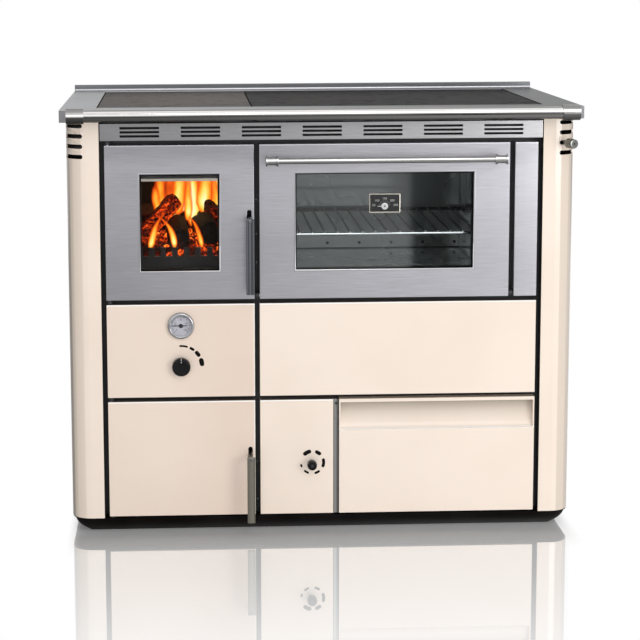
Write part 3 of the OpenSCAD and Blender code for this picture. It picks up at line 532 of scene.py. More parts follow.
# The fire itself: split logs burnt black and glowing in their cracks, a bed of embers, and flames that rise
# behind the door's glass. Each point carries its own heat, which the finishes turn into glow.
def burning(name, wood, crack_size, glow):
    """Charred wood that glows in its cracks where the heat is high and wears grey ash where it is low."""
    finish = Finish(name, Emission_Strength=1.5, Specular_IOR_Level=0.2)
    heat = finish.node("Attribute", {"attribute_name": "warmth"}, {}, "Fac")
    warp = finish.noise(0.008, 5.0, rough=0.7) * 1.1 - 0.32
    wobble = finish.node("TexNoise", {}, {"Vector": finish.place(), "Scale": 110.0, "Detail": 3.0}, "Color")
    sway = {0: wobble, 1: (0.016,) * 3, 2: finish.place()}
    bent = finish.node("VectorMath", {"operation": "MULTIPLY_ADD"}, sway)
    cells = {"Vector": bent, "Scale": 1.0 / crack_size}
    crack = 1.0 - finish.step(finish.node("TexVoronoi", {"feature": "DISTANCE_TO_EDGE"}, cells), 0.0, 0.22)
    fire = finish.step(crack * glow + heat + warp - 0.70, 0.0, 1.0)
    ash = finish.patches(0.52, 0.66, 0.011, 5.0, 0.7)
    stops = [(0.0, (0.0, 0.0, 0.0)), (0.2, (0.10, 0.003, 0.0)), (0.5, (0.85, 0.07, 0.004)),
             (0.8, (1.0, 0.26, 0.02)), (1.0, (1.0, 0.62, 0.12))]
    finish.feed(
        Base_Color=finish.blend(ash * (1.0 - heat) * 0.5, wood, (0.035, 0.026, 0.023)),
        Emission_Color=finish.ramp(stops, fire),
        Roughness=0.8 + 0.15 * ash,
        Normal=finish.bump(1.0 - crack, 0.8, 1.5 * mm),
    )
    return finish


def log(work, start, end, radius, heat, seed, split=0.72):
    """Rough split log: a wavy bar with one flat face, chopped ends and ridges of bark along it."""
    start, end = Vector(start), Vector(end)
    axis = (end - start).normalized()
    side = axis.cross(Vector((0.1, 0.2, 1.0))).normalized()
    over = side.cross(axis)
    lengths, turns = 22, 28
    rings = []
    for i in range(lengths + 1):
        t = i / lengths
        taper = 0.93 if i in (0, lengths) else 1.0
        ring = []
        for j in range(turns):
            a = math.tau * j / turns
            way = side * math.cos(a) + over * math.sin(a)
            rough = noise.noise(way * 2.4 + axis * t * 1.1 + Vector((seed, 0, 0)))
            ridge = noise.noise(way * 9.0 + axis * t * 5.0 + Vector((0, seed, 0)))
            reach = radius * (1.0 + 0.17 * rough + 0.10 * ridge) * taper
            if math.cos(a - seed) > 0.3:
                reach = min(reach, radius * split / math.cos(a - seed) * (1.0 + 0.04 * ridge))
            ring.append(start.lerp(end, t) + way * reach)
            work.heat.append(max(0.0, min(1.0, heat + 0.35 * rough - 0.10 * way.z)))
        rings.append(ring)
    return work.skin(rings)


charcoal = burning("charcoal", (0.003, 0.002, 0.002), 0.010, 0.26)
logs = Work()
for spec in (
    ((-0.372, -0.150, 0.604), (-0.300, -0.095, 0.674), 0.020, 0.56, 1.7),
    ((-0.292, -0.205, 0.603), (-0.300, 0.030, 0.615), 0.023, 0.18, 2.4),
    ((-0.224, -0.198, 0.614), (-0.246, 0.040, 0.622), 0.026, 0.10, 0.6),
    ((-0.205, -0.120, 0.628), (-0.250, -0.030, 0.682), 0.017, 0.48, 3.3),
    ((-0.375, -0.020, 0.600), (-0.215, -0.010, 0.612), 0.029, 0.30, 5.2),
    ((-0.370, -0.190, 0.566), (-0.215, -0.188, 0.560), 0.024, 0.45, 4.1),
    ((-0.360, 0.065, 0.560), (-0.225, -0.085, 0.566), 0.030, 0.35, 2.9),
):
    log(logs, *spec)
logs.make("burning_logs", charcoal, "root", "firebrick")


heap_top, heap_x, heap_y = 114, -0.289, -0.10


def heap(x, y):
    """Height of the ember bed over the grate, in millimetres: highest in the middle of the fire."""
    return heap_top * max(0.0, 1 - ((x - heap_x) / 0.15) ** 2 * 0.45 - ((y - heap_y) / 0.25) ** 2 * 0.8)


def grid_faces(first, row, rows, back):
    """Faces of a sheet of points in rows, and of its back, whose points come back places later."""
    faces = []
    for a in (first + j * row + i for j in range(rows - 1) for i in range(row - 1)):
        b, c, d = a + 1, a + row + 1, a + row
        faces += [(a, b, c, d), (back + d, back + c, back + b, back + a)]
    return faces


embers = Work()
random.seed(7)
bed_x, bed_y = (-0.381, -0.197), (-0.214, 0.112)
bed_foot, bed_top = 0.4825, 0.4835
across, deep = 46, 62
top, under = [], []
for j in range(deep + 1):
    for i in range(across + 1):
        x = bed_x[0] + (bed_x[1] - bed_x[0]) * i / across
        y = bed_y[0] + (bed_y[1] - bed_y[0]) * j / deep
        lump = noise.noise(Vector((x, y, 0)) * 60) * 9 + noise.noise(Vector((x, y, 3)) * 150) * 5
        top.append((x, y, bed_top + max(2.0, heap(x, y) + lump) * mm))
        under.append((x, y, bed_foot))
        embers.heat.append(0.5 + 0.45 * noise.noise(Vector((x, y, 9)) * 45) - 0.2 * (y > 0.02))
embers.points = [Vector(p) for p in top + under]
embers.heat += [0.0] * len(under)
row, half = across + 1, len(top)
embers.faces = grid_faces(0, row, deep + 1, half)
rim = [*range(row), *(j * row + across for j in range(1, deep + 1))]
rim += [*(deep * row + i for i in range(across - 1, -1, -1)), *(j * row for j in range(deep - 1, 0, -1))]
for here, there in zip(rim, rim[1:] + rim[:1]):
    embers.faces.append((there, here, half + here, half + there))
coals, coal_sides, coal_x, coal_y = 90, 7, (-0.372, -0.206), (-0.206, -0.05)
for _ in range(coals):
    x, y = random.uniform(*coal_x), random.uniform(*coal_y)
    size = random.uniform(5, 11) * mm
    lean = Vector((random.uniform(-1, 1), random.uniform(-1, 1), random.uniform(-0.4, 1))).normalized()
    glow = random.uniform(0.25, 0.95)
    coal = [(-size, 0.45 * size), (-0.5 * size, random.uniform(0.8, 1.1) * size),
            (0.5 * size, random.uniform(0.7, 1.1) * size), (size, 0.4 * size)]
    embers.turned((x, y, bed_top + (heap(x, y) + 3) * mm), lean, coal, coal_sides)
    embers.heat += [glow + random.uniform(-0.15, 0.15) for _ in range(len(coal) * coal_sides)]
glowing = burning("ember_bed", (0.014, 0.010, 0.009), 0.010, 0.30)
embers.make("ember_bed", glowing, "root", "firebrick")

flame = Finish("flame", Emission_Strength=1.3, Roughness=1.0, Specular_IOR_Level=0.0)
flame.shader.inputs["Base Color"].default_value = (0.0, 0.0, 0.0, 1.0)
heat = flame.node("Attribute", {"attribute_name": "warmth"}, {}, "Fac")
lick = flame.noise(0.020, 3.0, (1.0, 1.0, 0.28))
core = flame.step(heat + 0.7 * (lick - 0.5), 0.0, 1.0)
stops = [(0.0, (0.35, 0.01, 0.0)), (0.25, (0.9, 0.10, 0.005)), (0.5, (1.0, 0.33, 0.02)),
         (0.75, (1.0, 0.66, 0.12)), (1.0, (1.0, 0.93, 0.50))]
flame.feed(
    Emission_Color=flame.ramp(stops, core),
    Alpha=flame.step(heat + 0.9 * (lick - 0.5), 0.04, 0.55) * 0.92,
)
flames = Work()
for foot_x, foot_y, foot_z, tall, wide, lean, hot in (
    (-0.262, -0.060, 0.610, 0.200, 0.034, 0.10, 1.0), (-0.292, -0.080, 0.640, 0.165, 0.026, -0.05, 0.85),
    (-0.236, -0.075, 0.640, 0.165, 0.030, 0.25, 0.9), (-0.330, -0.060, 0.640, 0.150, 0.026, 0.30, 0.6),
    (-0.334, -0.110, 0.630, 0.095, 0.018, -0.20, 0.85), (-0.212, -0.085, 0.620, 0.140, 0.020, -0.10, 0.65),
    (-0.350, -0.200, 0.582, 0.080, 0.014, 0.85, 0.95), (-0.300, -0.210, 0.588, 0.070, 0.012, -1.00, 1.0),
    (-0.244, -0.210, 0.588, 0.070, 0.009, -0.90, 0.7), (-0.272, -0.120, 0.632, 0.110, 0.016, 0.15, 0.85),
    (-0.300, -0.020, 0.600, 0.220, 0.050, 0.05, 0.55), (-0.235, -0.020, 0.600, 0.215, 0.045, -0.05, 0.6),
    (-0.252, 0.030, 0.560, 0.275, 0.085, 0.02, 0.62), (-0.215, 0.012, 0.590, 0.230, 0.040, 0.02, 0.80),
    (-0.276, 0.005, 0.610, 0.215, 0.032, -0.04, 0.95), (-0.250, 0.050, 0.540, 0.330, 0.075, 0.04, 0.85),
):
    row, rows, first = 13, 27, len(flames.points)
    phase = foot_x * 90
    for face in (1, -1):
        for j in range(rows):
            v = j / (rows - 1)
            reach = wide * (v + 0.03) ** 0.38 * (1 - v) ** 0.75 * 1.35
            mid = foot_x + lean * tall * v * v * 0.5 + 0.16 * wide * math.sin(phase + 6.5 * v) * (0.3 + v)
            for i in range(row):
                u = 2 * i / (row - 1) - 1
                thick = 2.4 * mm * (1 - u * u) * (1 - v)
                bow = 0.25 * wide * u * u + 0.2 * wide * math.sin(phase + 4 * v)
                y = foot_y + bow + face * thick
                flames.points.append(Vector((mid + u * reach, y, foot_z + tall * v)))
                flames.heat.append(hot * (1 - abs(u) ** 1.8) * (1.08 - v) ** 0.8 * min(1.0, 0.4 + 4 * v))
    flames.faces += grid_faces(first, row, rows, row * rows)
flames.make("flames", flame, "root", "glass")


# The oven is a welded box with smooth grey enamel, shiny enough to mirror its chromed wire shelf.
# Punched steam holes run along the foot of its back wall.
oven_grey = Finish("oven_enamel", Coat_Weight=1.0, Coat_Roughness=0.05, Coat_IOR=1.9, Metallic=0.35)
speck = oven_grey.patches(0.62, 0.66, 1.3 * mm, 1.0)
haze = oven_grey.noise(0.11, 4.0)
y, z = map(oven_grey.axis, "YZ")
# Painted sheen: a band low on the back wall is made up to 45% brighter.
sheen = oven_grey.step(z, 0.53, 0.57) * (1.0 - oven_grey.step(z, 0.607, 0.615)) * (y > 0.17)
enamel = oven_grey.blend(haze, (0.17, 0.185, 0.185), (0.27, 0.285, 0.28))
enamel = oven_grey.scaled(enamel, 1.0 + 0.45 * sheen)
oven_grey.feed(
    Base_Color=oven_grey.blend(speck * 0.35, enamel, (0.42, 0.43, 0.43)),
    Roughness=0.2 + 0.16 * haze,
    Normal=oven_grey.bump(oven_grey.noise(1.1 * mm, 2.0), 0.05, 0.02 * mm),
)
dress(oven_grey, "oven_liner", edge=1.0 * mm)


def chromed(name, colour=(0.74, 0.74, 0.75), roughness=0.07):
    """Polished chrome plate with faint polishing haze and finger marks."""
    finish = Finish(name, Metallic=1.0)
    marks = finish.patches(0.45, 0.75, 0.018, 4.0, 0.7)
    finish.feed(
        Base_Color=finish.blend(marks, colour, toned(colour, 0.93)),
        Roughness=roughness + 0.07 * marks,
        Normal=finish.bump(finish.noise(0.8 * mm, 2.0), 0.03, 0.03 * mm),
    )
    return finish


def mirrored(name, roughness, *tones):
    """Chrome with a painted reflection: tones are pairs of how far it faces up, from 0 to 1, and how bright
    it is there.
    """
    finish = chromed(name, roughness=roughness)
    stops = [(place, (grey, grey * 0.985, grey * 0.97)) for place, grey in tones]
    finish.feed(Base_Color=finish.ramp(stops, finish.facing("Z") * 0.5 + 0.5))
    return finish


chrome = mirrored("chrome_plate", 0.12, (0.0, 0.05), (0.17, 0.12), (0.24, 0.17), (0.37, 0.17), (0.45, 0.09),
                  (0.53, 0.20), (0.61, 0.56), (0.79, 0.75), (0.92, 0.14))
wire_chrome = chromed("wire_chrome", (0.55, 0.55, 0.56), 0.16)
# Painted shade: the wires behind the front bar, and the probe, are painted near black and lose their metal;
# the bar in front stays bright chrome.
wire_shade = wire_chrome.step(wire_chrome.axis("Y"), -0.219, -0.2155)
wire_chrome.feed(
    Base_Color=wire_chrome.blend(wire_shade, (0.88, 0.88, 0.89), (0.005, 0.005, 0.005)),
    Metallic=1.0 - wire_shade,
    Roughness=0.16 + 0.30 * wire_shade,
)
dress(wire_chrome, "oven_rack", edge=0)
rack_low, rack_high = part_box("oven_rack")
wire_gap, wires = 26 * mm, 16
tips = Work()
for i in range(wires):
    x = middle("oven_rack").x + (i - (wires - 1) / 2) * wire_gap
    spot = (x, rack_low.y + 4.5 * mm, rack_high.z - 0.8 * mm)
    tips.turned(spot, forward, profile((0, 2.2), (4.0, 2.2), (5.0, 1.1)), 10)
tips.make("oven_rack_tips", wire_chrome, "root", "chrome")
back_wall, hole_z, first_hole, hole_gap = 0.188, 0.535, -0.026, 73 * mm
shade_line_left, shade_line_right, shade_line_z, shade_line_wide = -0.0955, 0.3500, 0.5222, 2.1 * mm
# Painted shade: the steam holes are near-black discs, and a near-black strip lies along the crease where the
# floor meets the back wall.
holes = Work()
for i in range(6):
    lip = profile((0, 3.6), (0.4, 3.4), (0.5, 2.9), (0.1, 2.6))
    holes.turned((first_hole + i * hole_gap, back_wall, hole_z), forward, lip, 20)
holes.block((shade_line_left, back_wall - 1.5 * mm, shade_line_z), (shade_line_right, back_wall, shade_line_z + shade_line_wide))
hole_shade_black = painted("painted_hole_shade", (0.004, 0.004, 0.004), 0.8, 1 * mm)
holes.make("oven_steam_holes", hole_shade_black, "root", "oven_enamel")
bulb = Vector((0.330, back_wall, 0.752))
sheath = Work().turned(bulb, forward, profile((0, 2.4), (70, 2.4), (72, 1.4)), 16)
sheath.turned(bulb, forward, profile((0, 6), (3, 6), (4, 5)), 6)
sheath.make("oven_probe", wire_chrome, "root", "chrome")


# The black front frame carries the doors on small welded lugs; its edges show as shadow lines between the
# panels. Small screws show in the upright gap beside the fire door and under it.
frame_black = painted("frame_black", (0.020, 0.020, 0.023), 0.45, 0.8 * mm)
dress(frame_black, "front_frame", edge=0.4 * mm)
dress(frame_black, "hinge_lugs", edge=0.3 * mm)
frame_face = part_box("front_frame")[0].y
gap_x = (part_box("fire_door")[1].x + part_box("oven_door")[0].x) / 2
frame_screws = Work()
for z in (0.062, 0.142, 0.561, 0.620, 0.691):
    screw(frame_screws, (gap_x, frame_face + 0.1 * mm, z), forward, 2.2 * mm, 0.5)
frame_screws.make("front_frame_screws", screw_steel, "root", "chrome")


# Ventilated fascia under the worktop: brushed sheet with seven groups of three pressed slots.
# Painted sheen: the fascia is darker at the left and brighter at the right.
fascia_steel = brushed("fascia_steel", (0.40, 0.395, 0.405), along_x, 0.3, sweep=(0.58, 1.42))
dress(fascia_steel, "fascia", edge=0.5 * mm)


# The worktop is a frame of thick brushed stainless round the hob opening, with a raised lip along the wall.
# Two ground cast-iron cooking plates lie loose in the opening; heat has turned them brown and blue-grey.
# Painted sheen: the worktop is brighter at the left and darker at the right.
top_steel = brushed("top_steel", (0.40, 0.405, 0.415), along_x, 0.3, grazing=0.42, sweep=(1.52, 0.44))
# Painted shade: the upstand's steel is a darker copy of the worktop's.
lip_steel = brushed("lip_steel", (0.155, 0.16, 0.17), along_x, 0.34, grazing=0.3)
# Painted shade: faces that do not look up, such as the worktop's front edges, are painted dark grey.
flat = top_steel.step(top_steel.facing("Z"), 0.3, 0.8)
top_steel.feed(Base_Color=top_steel.blend(flat, (0.20, 0.20, 0.21), top_steel.base()))
dress(top_steel, "worktop", edge=0.8 * mm)
dress(lip_steel, "upstand", edge=0.8 * mm)
top_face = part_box("worktop")[1].z
lip_low, lip_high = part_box("upstand")
bend_foot = 3.5 * mm
cove = [(0.1 * mm, -0.2 * mm)]
for angle in (math.radians(15 * i) for i in range(7)):
    cove.append((-bend_foot * (1 - math.sin(angle)), bend_foot * (1 - math.cos(angle)) + 0.1 * mm))
ends = lip_low.x + 1 * mm, lip_high.x - 1 * mm
bend = Work().skin([[(x, lip_low.y + out, top_face + up) for out, up in cove] for x in ends])
bend.make("upstand_bend", brushed("bend_steel", (0.46, 0.46, 0.48), along_x, 0.3), "root", "brushed_steel")


def cooking_iron(name, cool, warm, hot_spot, grazing):
    """Ground cast iron: fine grinding lines, and rings of temper colour round the hottest place."""
    finish = Finish(name, Metallic=1.0, Specular_Tint=(grazing, grazing, grazing, 1.0))
    ground = finish.noise(0.7 * mm, 3.0, (0.03, 1.0, 1.0), 0.6)
    reach = finish.node("VectorMath", {"operation": "DISTANCE"}, {0: finish.place(), 1: hot_spot}, "Value")
    tint = finish.step(reach + 0.10 * (finish.noise(0.07, 4.0) - 0.5), 0.06, 0.26)
    marks = finish.patches(0.5, 0.72, 0.03, 5.0, 0.75)
    base = finish.blend(tint, warm, cool)
    finish.feed(
        Base_Color=finish.blend(ground * 0.4 + marks * 0.25, base, toned(cool, 0.75)),
        Roughness=0.34 + 0.18 * marks + 0.10 * (ground - 0.5),
        Normal=finish.bump(ground, 0.2, 0.06 * mm),
    )
    return finish


for side, name, *iron in (
    ("left", "plate_over_fire", (0.105, 0.092, 0.085), (0.14, 0.11, 0.09), (-0.29, -0.02, 0.879), 0.34),
    ("right", "plate_over_oven", (0.060, 0.055, 0.058), (0.075, 0.064, 0.060), (0.02, 0.0, 0.879), 0.16),
):
    dress(cooking_iron(name, *iron), "cooking_plate_" + side, edge=1.0 * mm)


# A chromed rail runs along the front edge of the worktop between two turned brackets. A grub screw holds it
# in each.
dress(chrome, "handrail", edge=0)
socket_chrome = mirrored("socket_chrome", 0.12, (0.0, 0.02), (0.15, 0.06), (0.42, 0.14), (0.50, 0.40),
                         (0.62, 0.60), (0.76, 0.50), (0.84, 0.16), (1.0, 0.10))
dress(socket_chrome, "handrail_sockets", edge=0.5 * mm)
rail, socket_end, grub_x = middle("handrail"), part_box("handrail_sockets")[1].x, 493.75 * mm
dimple = profile((0, 3.4), (0.2, 3.4), (0.3, 3.1), (0.3, hexagon(1.7 * mm)), (-1.0, hexagon(1.6 * mm)))
end_cap = profile((-2.0, 14.0), (-0.3, 14.0), (0, 13.4), (0.4, 7.0), (0.5, 0.5))
grubs, caps = Work(), Work()
for way in (-1, 1):
    grubs.turned((way * grub_x, rail.y, rail.z - 15.45 * mm), (0, 0, -1), dimple, 24)
    caps.turned((way * socket_end, rail.y, rail.z), (way, 0, 0), end_cap, 48)
grubs.make("rail_grub_screws", screw_steel, "root", "chrome")
caps.make("rail_end_caps", chromed("cap_chrome", (0.58, 0.58, 0.59), 0.2), "root", "chrome")


# The fire door is a pressed pan of brushed stainless with an upright window. Heat-proof glass sits behind it
# in a retainer, a glass-fibre rope seals it to the frame, and it swings on two pins.
# Painted sheen: the door steel is somewhat darker at the left than at the right.
door_steel = brushed("door_steel", steel_grey, along_x, 0.33, sweep=(0.92, 1.26))
x, z = map(door_steel.axis, "XZ")
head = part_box("fire_door")[1].z
# Painted shade darkens the top band of the doors, most at the left, and a painted highlight lightens their
# top edge.
head_shade_and_highlight = door_steel.step(z, 0.752, 0.80) * (0.27 - 0.17 * door_steel.step(x, -0.25, 0.05))
head_shade_and_highlight = head_shade_and_highlight - 0.42 * door_steel.step(z, head - 3.2 * mm, head - 1.8 * mm)
door_steel.feed(Base_Color=door_steel.scaled(door_steel.base(), 1.0 - head_shade_and_highlight))
liner_black = painted("liner_black", (0.03, 0.03, 0.032), 0.6, 0.6 * mm)
pin_steel = chromed("pin_steel", (0.5, 0.5, 0.51), 0.25)
dress(door_steel, "fire_door", edge=1.1 * mm)
dress(liner_black, "fire_door_liner", edge=0.4 * mm)
dress(pin_steel, "fire_door_pins", "ash_door_pins", "oven_door_pins", edge=0.3 * mm)


def heat_glass(name, tint, soot, bend=1.47):
    """Ceramic door glass: clear in the middle, with smoke that creeps in from its edges."""
    finish = Finish(name, Roughness=0.0, Transmission_Weight=1.0, IOR=bend)
    film = finish.patches(0.35, 0.85, 0.03, 4.0, 0.65)
    finish.feed(
        Base_Color=finish.blend(film * soot, tint, toned(tint, 0.55)),
        Roughness=0.01 + 0.05 * film * soot,
    )
    return finish


dress(heat_glass("fire_pane", (0.98, 0.96, 0.93), 0.3, 1.14), "fire_glass", edge=0)
dress(heat_glass("oven_pane", (0.86, 0.90, 0.90), 0.05), "oven_glass", edge=0)
braid = Finish("glass_fibre_rope", Specular_IOR_Level=0.2, Sheen_Weight=0.3)
yarn = braid.node("TexNoise", {}, {"Vector": braid.place(), "Scale": 1700.0, "Detail": 3.0})
braid.feed(
    Base_Color=braid.blend(braid.patches(0.4, 0.7, 0.02, 3.0), (0.50, 0.48, 0.43), (0.32, 0.30, 0.27)),
    Roughness=0.75 + 0.2 * yarn,
    Normal=braid.bump(yarn, 0.6, 0.2 * mm),
)


def rope_seal(name, node, body):
    """Three strands of glass-fibre laid round each other, all the way round the door."""
    low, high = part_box(node)
    bead, lay, part = (high.y - low.y) / 2, 18 * mm, 2.4 * mm
    inset = bead * 1.02
    frame_low, frame_high = (low.x + inset, low.z + inset), (high.x - inset, high.z - inset)
    route = [Vector((x, (low.y + high.y) / 2, z)) for x, z in rounded(frame_low, frame_high, 12 * mm, 7)]
    spots, run = [], 0.0
    for here, there in zip(route, route[1:] + route[:1]):
        step = (there - here).length
        parts = max(1, round(step / part))
        out = Vector(((there - here).z, 0, -(there - here).x)).normalized()
        spots += [(here.lerp(there, k / parts), out, run + step * k / parts) for k in range(parts)]
        run += step
    work, lays = Work(), round(run / lay)
    for strand in range(3):
        path = []
        for spot, out, along in spots:
            a = math.tau * (along / run * lays + strand / 3)
            path.append(spot + (out * math.cos(a) + backward * math.sin(a)) * bead / 2)
        work.tube(path, bead / 2, 7)
    work.make(name, braid, body, "rope_seal", node)


rope_seal("fire_door_rope", "fire_seal", "fire_door")
bead_steel = brushed("bead_steel", (0.72, 0.72, 0.74), along_x, 0.3)
# Painted light: the beads' upward faces low down are painted near white as highlight, and faces that look
# down are painted dark as shade.
facing_up = bead_steel.facing("Z")
lit = bead_steel.step(facing_up, 0.0, 0.25) * (bead_steel.axis("Z") < 0.6)
upper = bead_steel.blend(bead_steel.step(facing_up, -0.25, -0.05), (0.13, 0.13, 0.14), (0.42, 0.42, 0.44))
bead_steel.feed(Base_Color=bead_steel.blend(lit, upper, (0.95, 0.95, 0.96)))


def window_bead(name, door, left, right):
    """Rolled rim round a door's window, raised from the sheet and sloping in towards the glass."""
    face, foot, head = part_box(door)[0].y, 549.5 * mm, 747.0 * mm
    roll = profile((-0.1, -0.4), (0, 0.1), (2.3, 1.0), (3.0, 0.8), (3.2, -0.2))
    corners = ((left, foot, -1, -1), (right, foot, 1, -1), (right, head, 1, 1), (left, head, -1, 1))
    rings = [[(x + out_x * reach, face - rise, z + out_z * reach) for reach, rise in roll]
             for x, z, out_x, out_z in corners]
    Work().skin(rings, True).make(name, bead_steel, door, "brushed_steel")


window_bead("fire_window_bead", "fire_door", -369.25 * mm, -208.75 * mm)
window_bead("oven_window_bead", "oven_door", -54.25 * mm, 308.75 * mm)

# A bent stainless strip behind the fire glass throws the wash of air down its inside, under a black shade.
strip_left, strip_right, strip_y, strip_head = -0.372, -0.206, -0.2720, 0.7380
shade = Work().block((strip_left - 8 * mm, strip_y - 0.8 * mm, strip_head),
                     (strip_right + 8 * mm, strip_y + 0.4 * mm, strip_head + 20 * mm))
shade.make("air_wash_shade", liner_black, "fire_door", "boiler_steel", edge=0.2 * mm)
strip_bend = strip_head - 1.5 * mm
wash = Work().block((strip_left, strip_y, strip_head - 5.5 * mm), (strip_right, strip_y + 2 * mm, strip_bend))
wash.block((strip_left, strip_y, strip_bend), (strip_right, strip_y + 12 * mm, strip_head))
strip_steel = brushed("strip_steel", (0.62, 0.60, 0.56), along_x, 0.3)
wash.make("air_wash_strip", strip_steel, "fire_door", "brushed_steel", edge=0.3 * mm)


# Both lever handles are flat stainless bars, bent at the pivot end and held by a screw.
def lever(node, hue, *tones):
    """Brushed bar and its screw; tones are painted shade and highlights across its width, from left to right.
    """
    finish = brushed(node + "_steel", (0.5, 0.5, 0.5), along_z)
    low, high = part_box(node)
    # Painted light: grey levels across the bar, tinted by hue as a painted reflection of what stands round
    # it.
    stops = [(place, tuple(tone * h for h in hue)) for place, tone in tones]
    finish.feed(Base_Color=finish.ramp(stops, (finish.axis("X") - low.x) / (high.x - low.x)))
    dress(finish, node, edge=1.2 * mm)
    spot = (middle(node).x, low.y + 0.1 * mm, high.z - 7.5 * mm)
    screw(Work(), spot, forward, 3.2 * mm, 0.4).make(node + "_screws", screw_steel, node, "chrome")


lever("fire_handle", (0.97, 1.0, 1.12), (0.0, 0.18), (0.22, 0.15), (0.34, 0.05), (0.44, 0.19), (0.58, 0.16),
      (0.70, 0.06), (0.84, 0.12), (1.0, 0.10))
lever("ash_handle", (1.05, 0.97, 0.82), (0.0, 0.18), (0.3, 0.22), (0.55, 0.26), (0.75, 0.24), (1.0, 0.14))


# The oven door drops forward on two pins. Its pan and window are like the fire door's, with a chromed bar
# handle on two standoffs, and the panel beside it is a narrow pressed cover.
dress(door_steel, "oven_door", "narrow_panel", edge=1.1 * mm)
dress(liner_black, "oven_door_liner", edge=0.4 * mm)
rope_seal("oven_door_rope", "oven_seal", "oven_door")
bar_chrome = mirrored("bar_chrome", 0.14, (0.0, 0.10), (0.28, 0.22), (0.42, 0.36), (0.54, 0.74), (0.66, 0.68),
                      (0.80, 0.40), (1.0, 0.34))
dress(bar_chrome, "oven_bar", edge=0)
dress(bar_chrome, "oven_bar_ends", edge=0.6 * mm)
bar_low, bar_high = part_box("oven_bar")
bar = middle("oven_bar")
plug = profile((0, 9.6), (0.3, 9.6), (0.4, 9.2), (0.4, 2.6), (-0.6, hexagon(2.0 * mm)))
collar = profile((0, 6.2), (0, 9.0), (0.4, 9.4), (2.0, 9.4), (2.4, 9.0), (2.4, 6.2))
plugs, collars = Work(), Work()
for end, way in ((bar_low.x, 1), (bar_high.x, -1)):
    plugs.turned((end + way * 0.4 * mm, bar.y, bar.z), (-way, 0, 0), plug, 36)
    collars.turned((end + way * 20.2 * mm - 1.2 * mm, bar.y, bar.z), (1, 0, 0), collar, 40, True)
plugs.make("oven_bar_plugs", bar_chrome, "oven_door", "chrome")
collars.make("oven_bar_collars", bar_chrome, "oven_door", "chrome")


# Oven thermometer: a black plate with a bright rim on the glass, printed with plain numbers round a small
# hub with one hand.
def lettering(work, text, centre, size, rise=0.08 * mm):
    """Prints a number on a face that looks forward, as thin raised shapes."""
    curve = bpy.data.curves.new("numerals", "FONT")
    curve.body, curve.size, curve.align_x, curve.align_y = text, size, "CENTER", "CENTER"
    curve.extrude, curve.resolution_u, curve.space_character = rise, 3, 1.08
    holder = bpy.data.objects.new("numerals", curve)
    mesh = holder.to_mesh()
    first, (x, y, z) = len(work.points), centre
    work.points += [Vector((x + v.co.x, y - v.co.z, z + v.co.y)) for v in mesh.vertices]
    work.faces += [tuple(first + i for i in face.vertices) for face in mesh.polygons]
    holder.to_mesh_clear()
    bpy.data.objects.remove(holder)
    bpy.data.curves.remove(curve)


def scale_marks(work, centre, radii, angles, width, rise=0.1 * mm):
    """Short printed lines that point at a dial's centre, at angles clockwise from its left."""
    inner, outer = radii
    for angle in angles:
        way, across = round_about(180 - angle), round_about(90 - angle) * width / 2
        corners = ((inner, -1), (inner, 1), (outer, 1), (outer, -1))
        ring = [centre + way * r + across * side for r, side in corners]
        work.skin([ring, [p + forward * rise for p in ring]])


satin_plastic = painted("satin_plastic", (0.012, 0.012, 0.013), 0.30, 0.5 * mm, 0.2)
print_white = painted("print_white", (0.46, 0.46, 0.45), 0.55, 0.4 * mm)
plate_low, plate_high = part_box("oven_thermometer")
plate_y = -0.2790
dress(satin_plastic, "oven_thermometer", edge=0.3 * mm)
rim, rim_wide, rim_foot, rim_thick = Work(), 1.6 * mm, 2.2 * mm, 0.7 * mm
left, right, foot, head = plate_low.x, plate_high.x, plate_low.z + rim_foot, plate_high.z - rim_wide
for start, end, low, high in ((left, right, plate_low.z, foot), (left, right, head, plate_high.z),
                              (left, left + rim_wide, foot, head), (right - rim_wide, right, foot, head)):
    rim.block((start, plate_y - rim_thick, low), (end, plate_y, high))
rim_chrome = chromed("rim_chrome", (0.72, 0.68, 0.60), 0.2)
rim.make("thermometer_rim", rim_chrome, "oven_door", "chrome", edge=0.2 * mm)
hub = Vector((middle("oven_thermometer").x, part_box("oven_pointer")[1].y, middle("oven_pointer").z))
print_at = Vector((hub.x, plate_y, hub.z))
figures = Work()
for figure, angle in ((50, 8), (100, 47), (150, 90), (200, 133), (250, 172)):
    way = round_about(180 - angle)
    lettering(figures, str(figure), print_at + Vector((22.5 * way.x, 0, 15.5 * way.z)) * mm, 6.0 * mm)
scale_marks(figures, print_at, (10 * mm, 11.6 * mm), range(20, 170, 20), 0.7 * mm)
figures.make("thermometer_numbers", print_white, "oven_door", "dial_white")
button = profile((0, 1.55), (0, 7), (0.7, 7), (1.2, 6.2), (1.2, 1.55))
hand = Work().turned(hub, forward, button, 40, True)
section = profile((0, -1), (0, 1), (1.1, 1), (1.1, -1))
hand.skin([[hub + Vector((-reach, -rise, side * wide)) for rise, side in section]
           for reach, wide in ((4 * mm, 1.0), (15 * mm, 0.35))])
hub_steel = chromed("hub_steel", (0.72, 0.72, 0.72), 0.3)
hand.make("oven_pointer_hand", hub_steel, "oven_pointer", "pointer", "oven_pointer", edge=0.15 * mm)


# The ash door is a cream enamelled pan that hangs, seals and locks as the fire door does.
dress(cream, "ash_door", edge=0.6 * mm)
dress(liner_black, "ash_door_liner", edge=0.4 * mm)
rope_seal("ash_door_rope", "ash_seal", "ash_door")


# Boiler panel: an enamelled cover with the water thermometer and the thermostat knob of the draught flap.
# The thermometer is a bought part: pressed bezel, flat glass, printed dial and a black hand.
dress(cream, "boiler_panel", "soot_panel", "air_panel", edge=0.6 * mm)


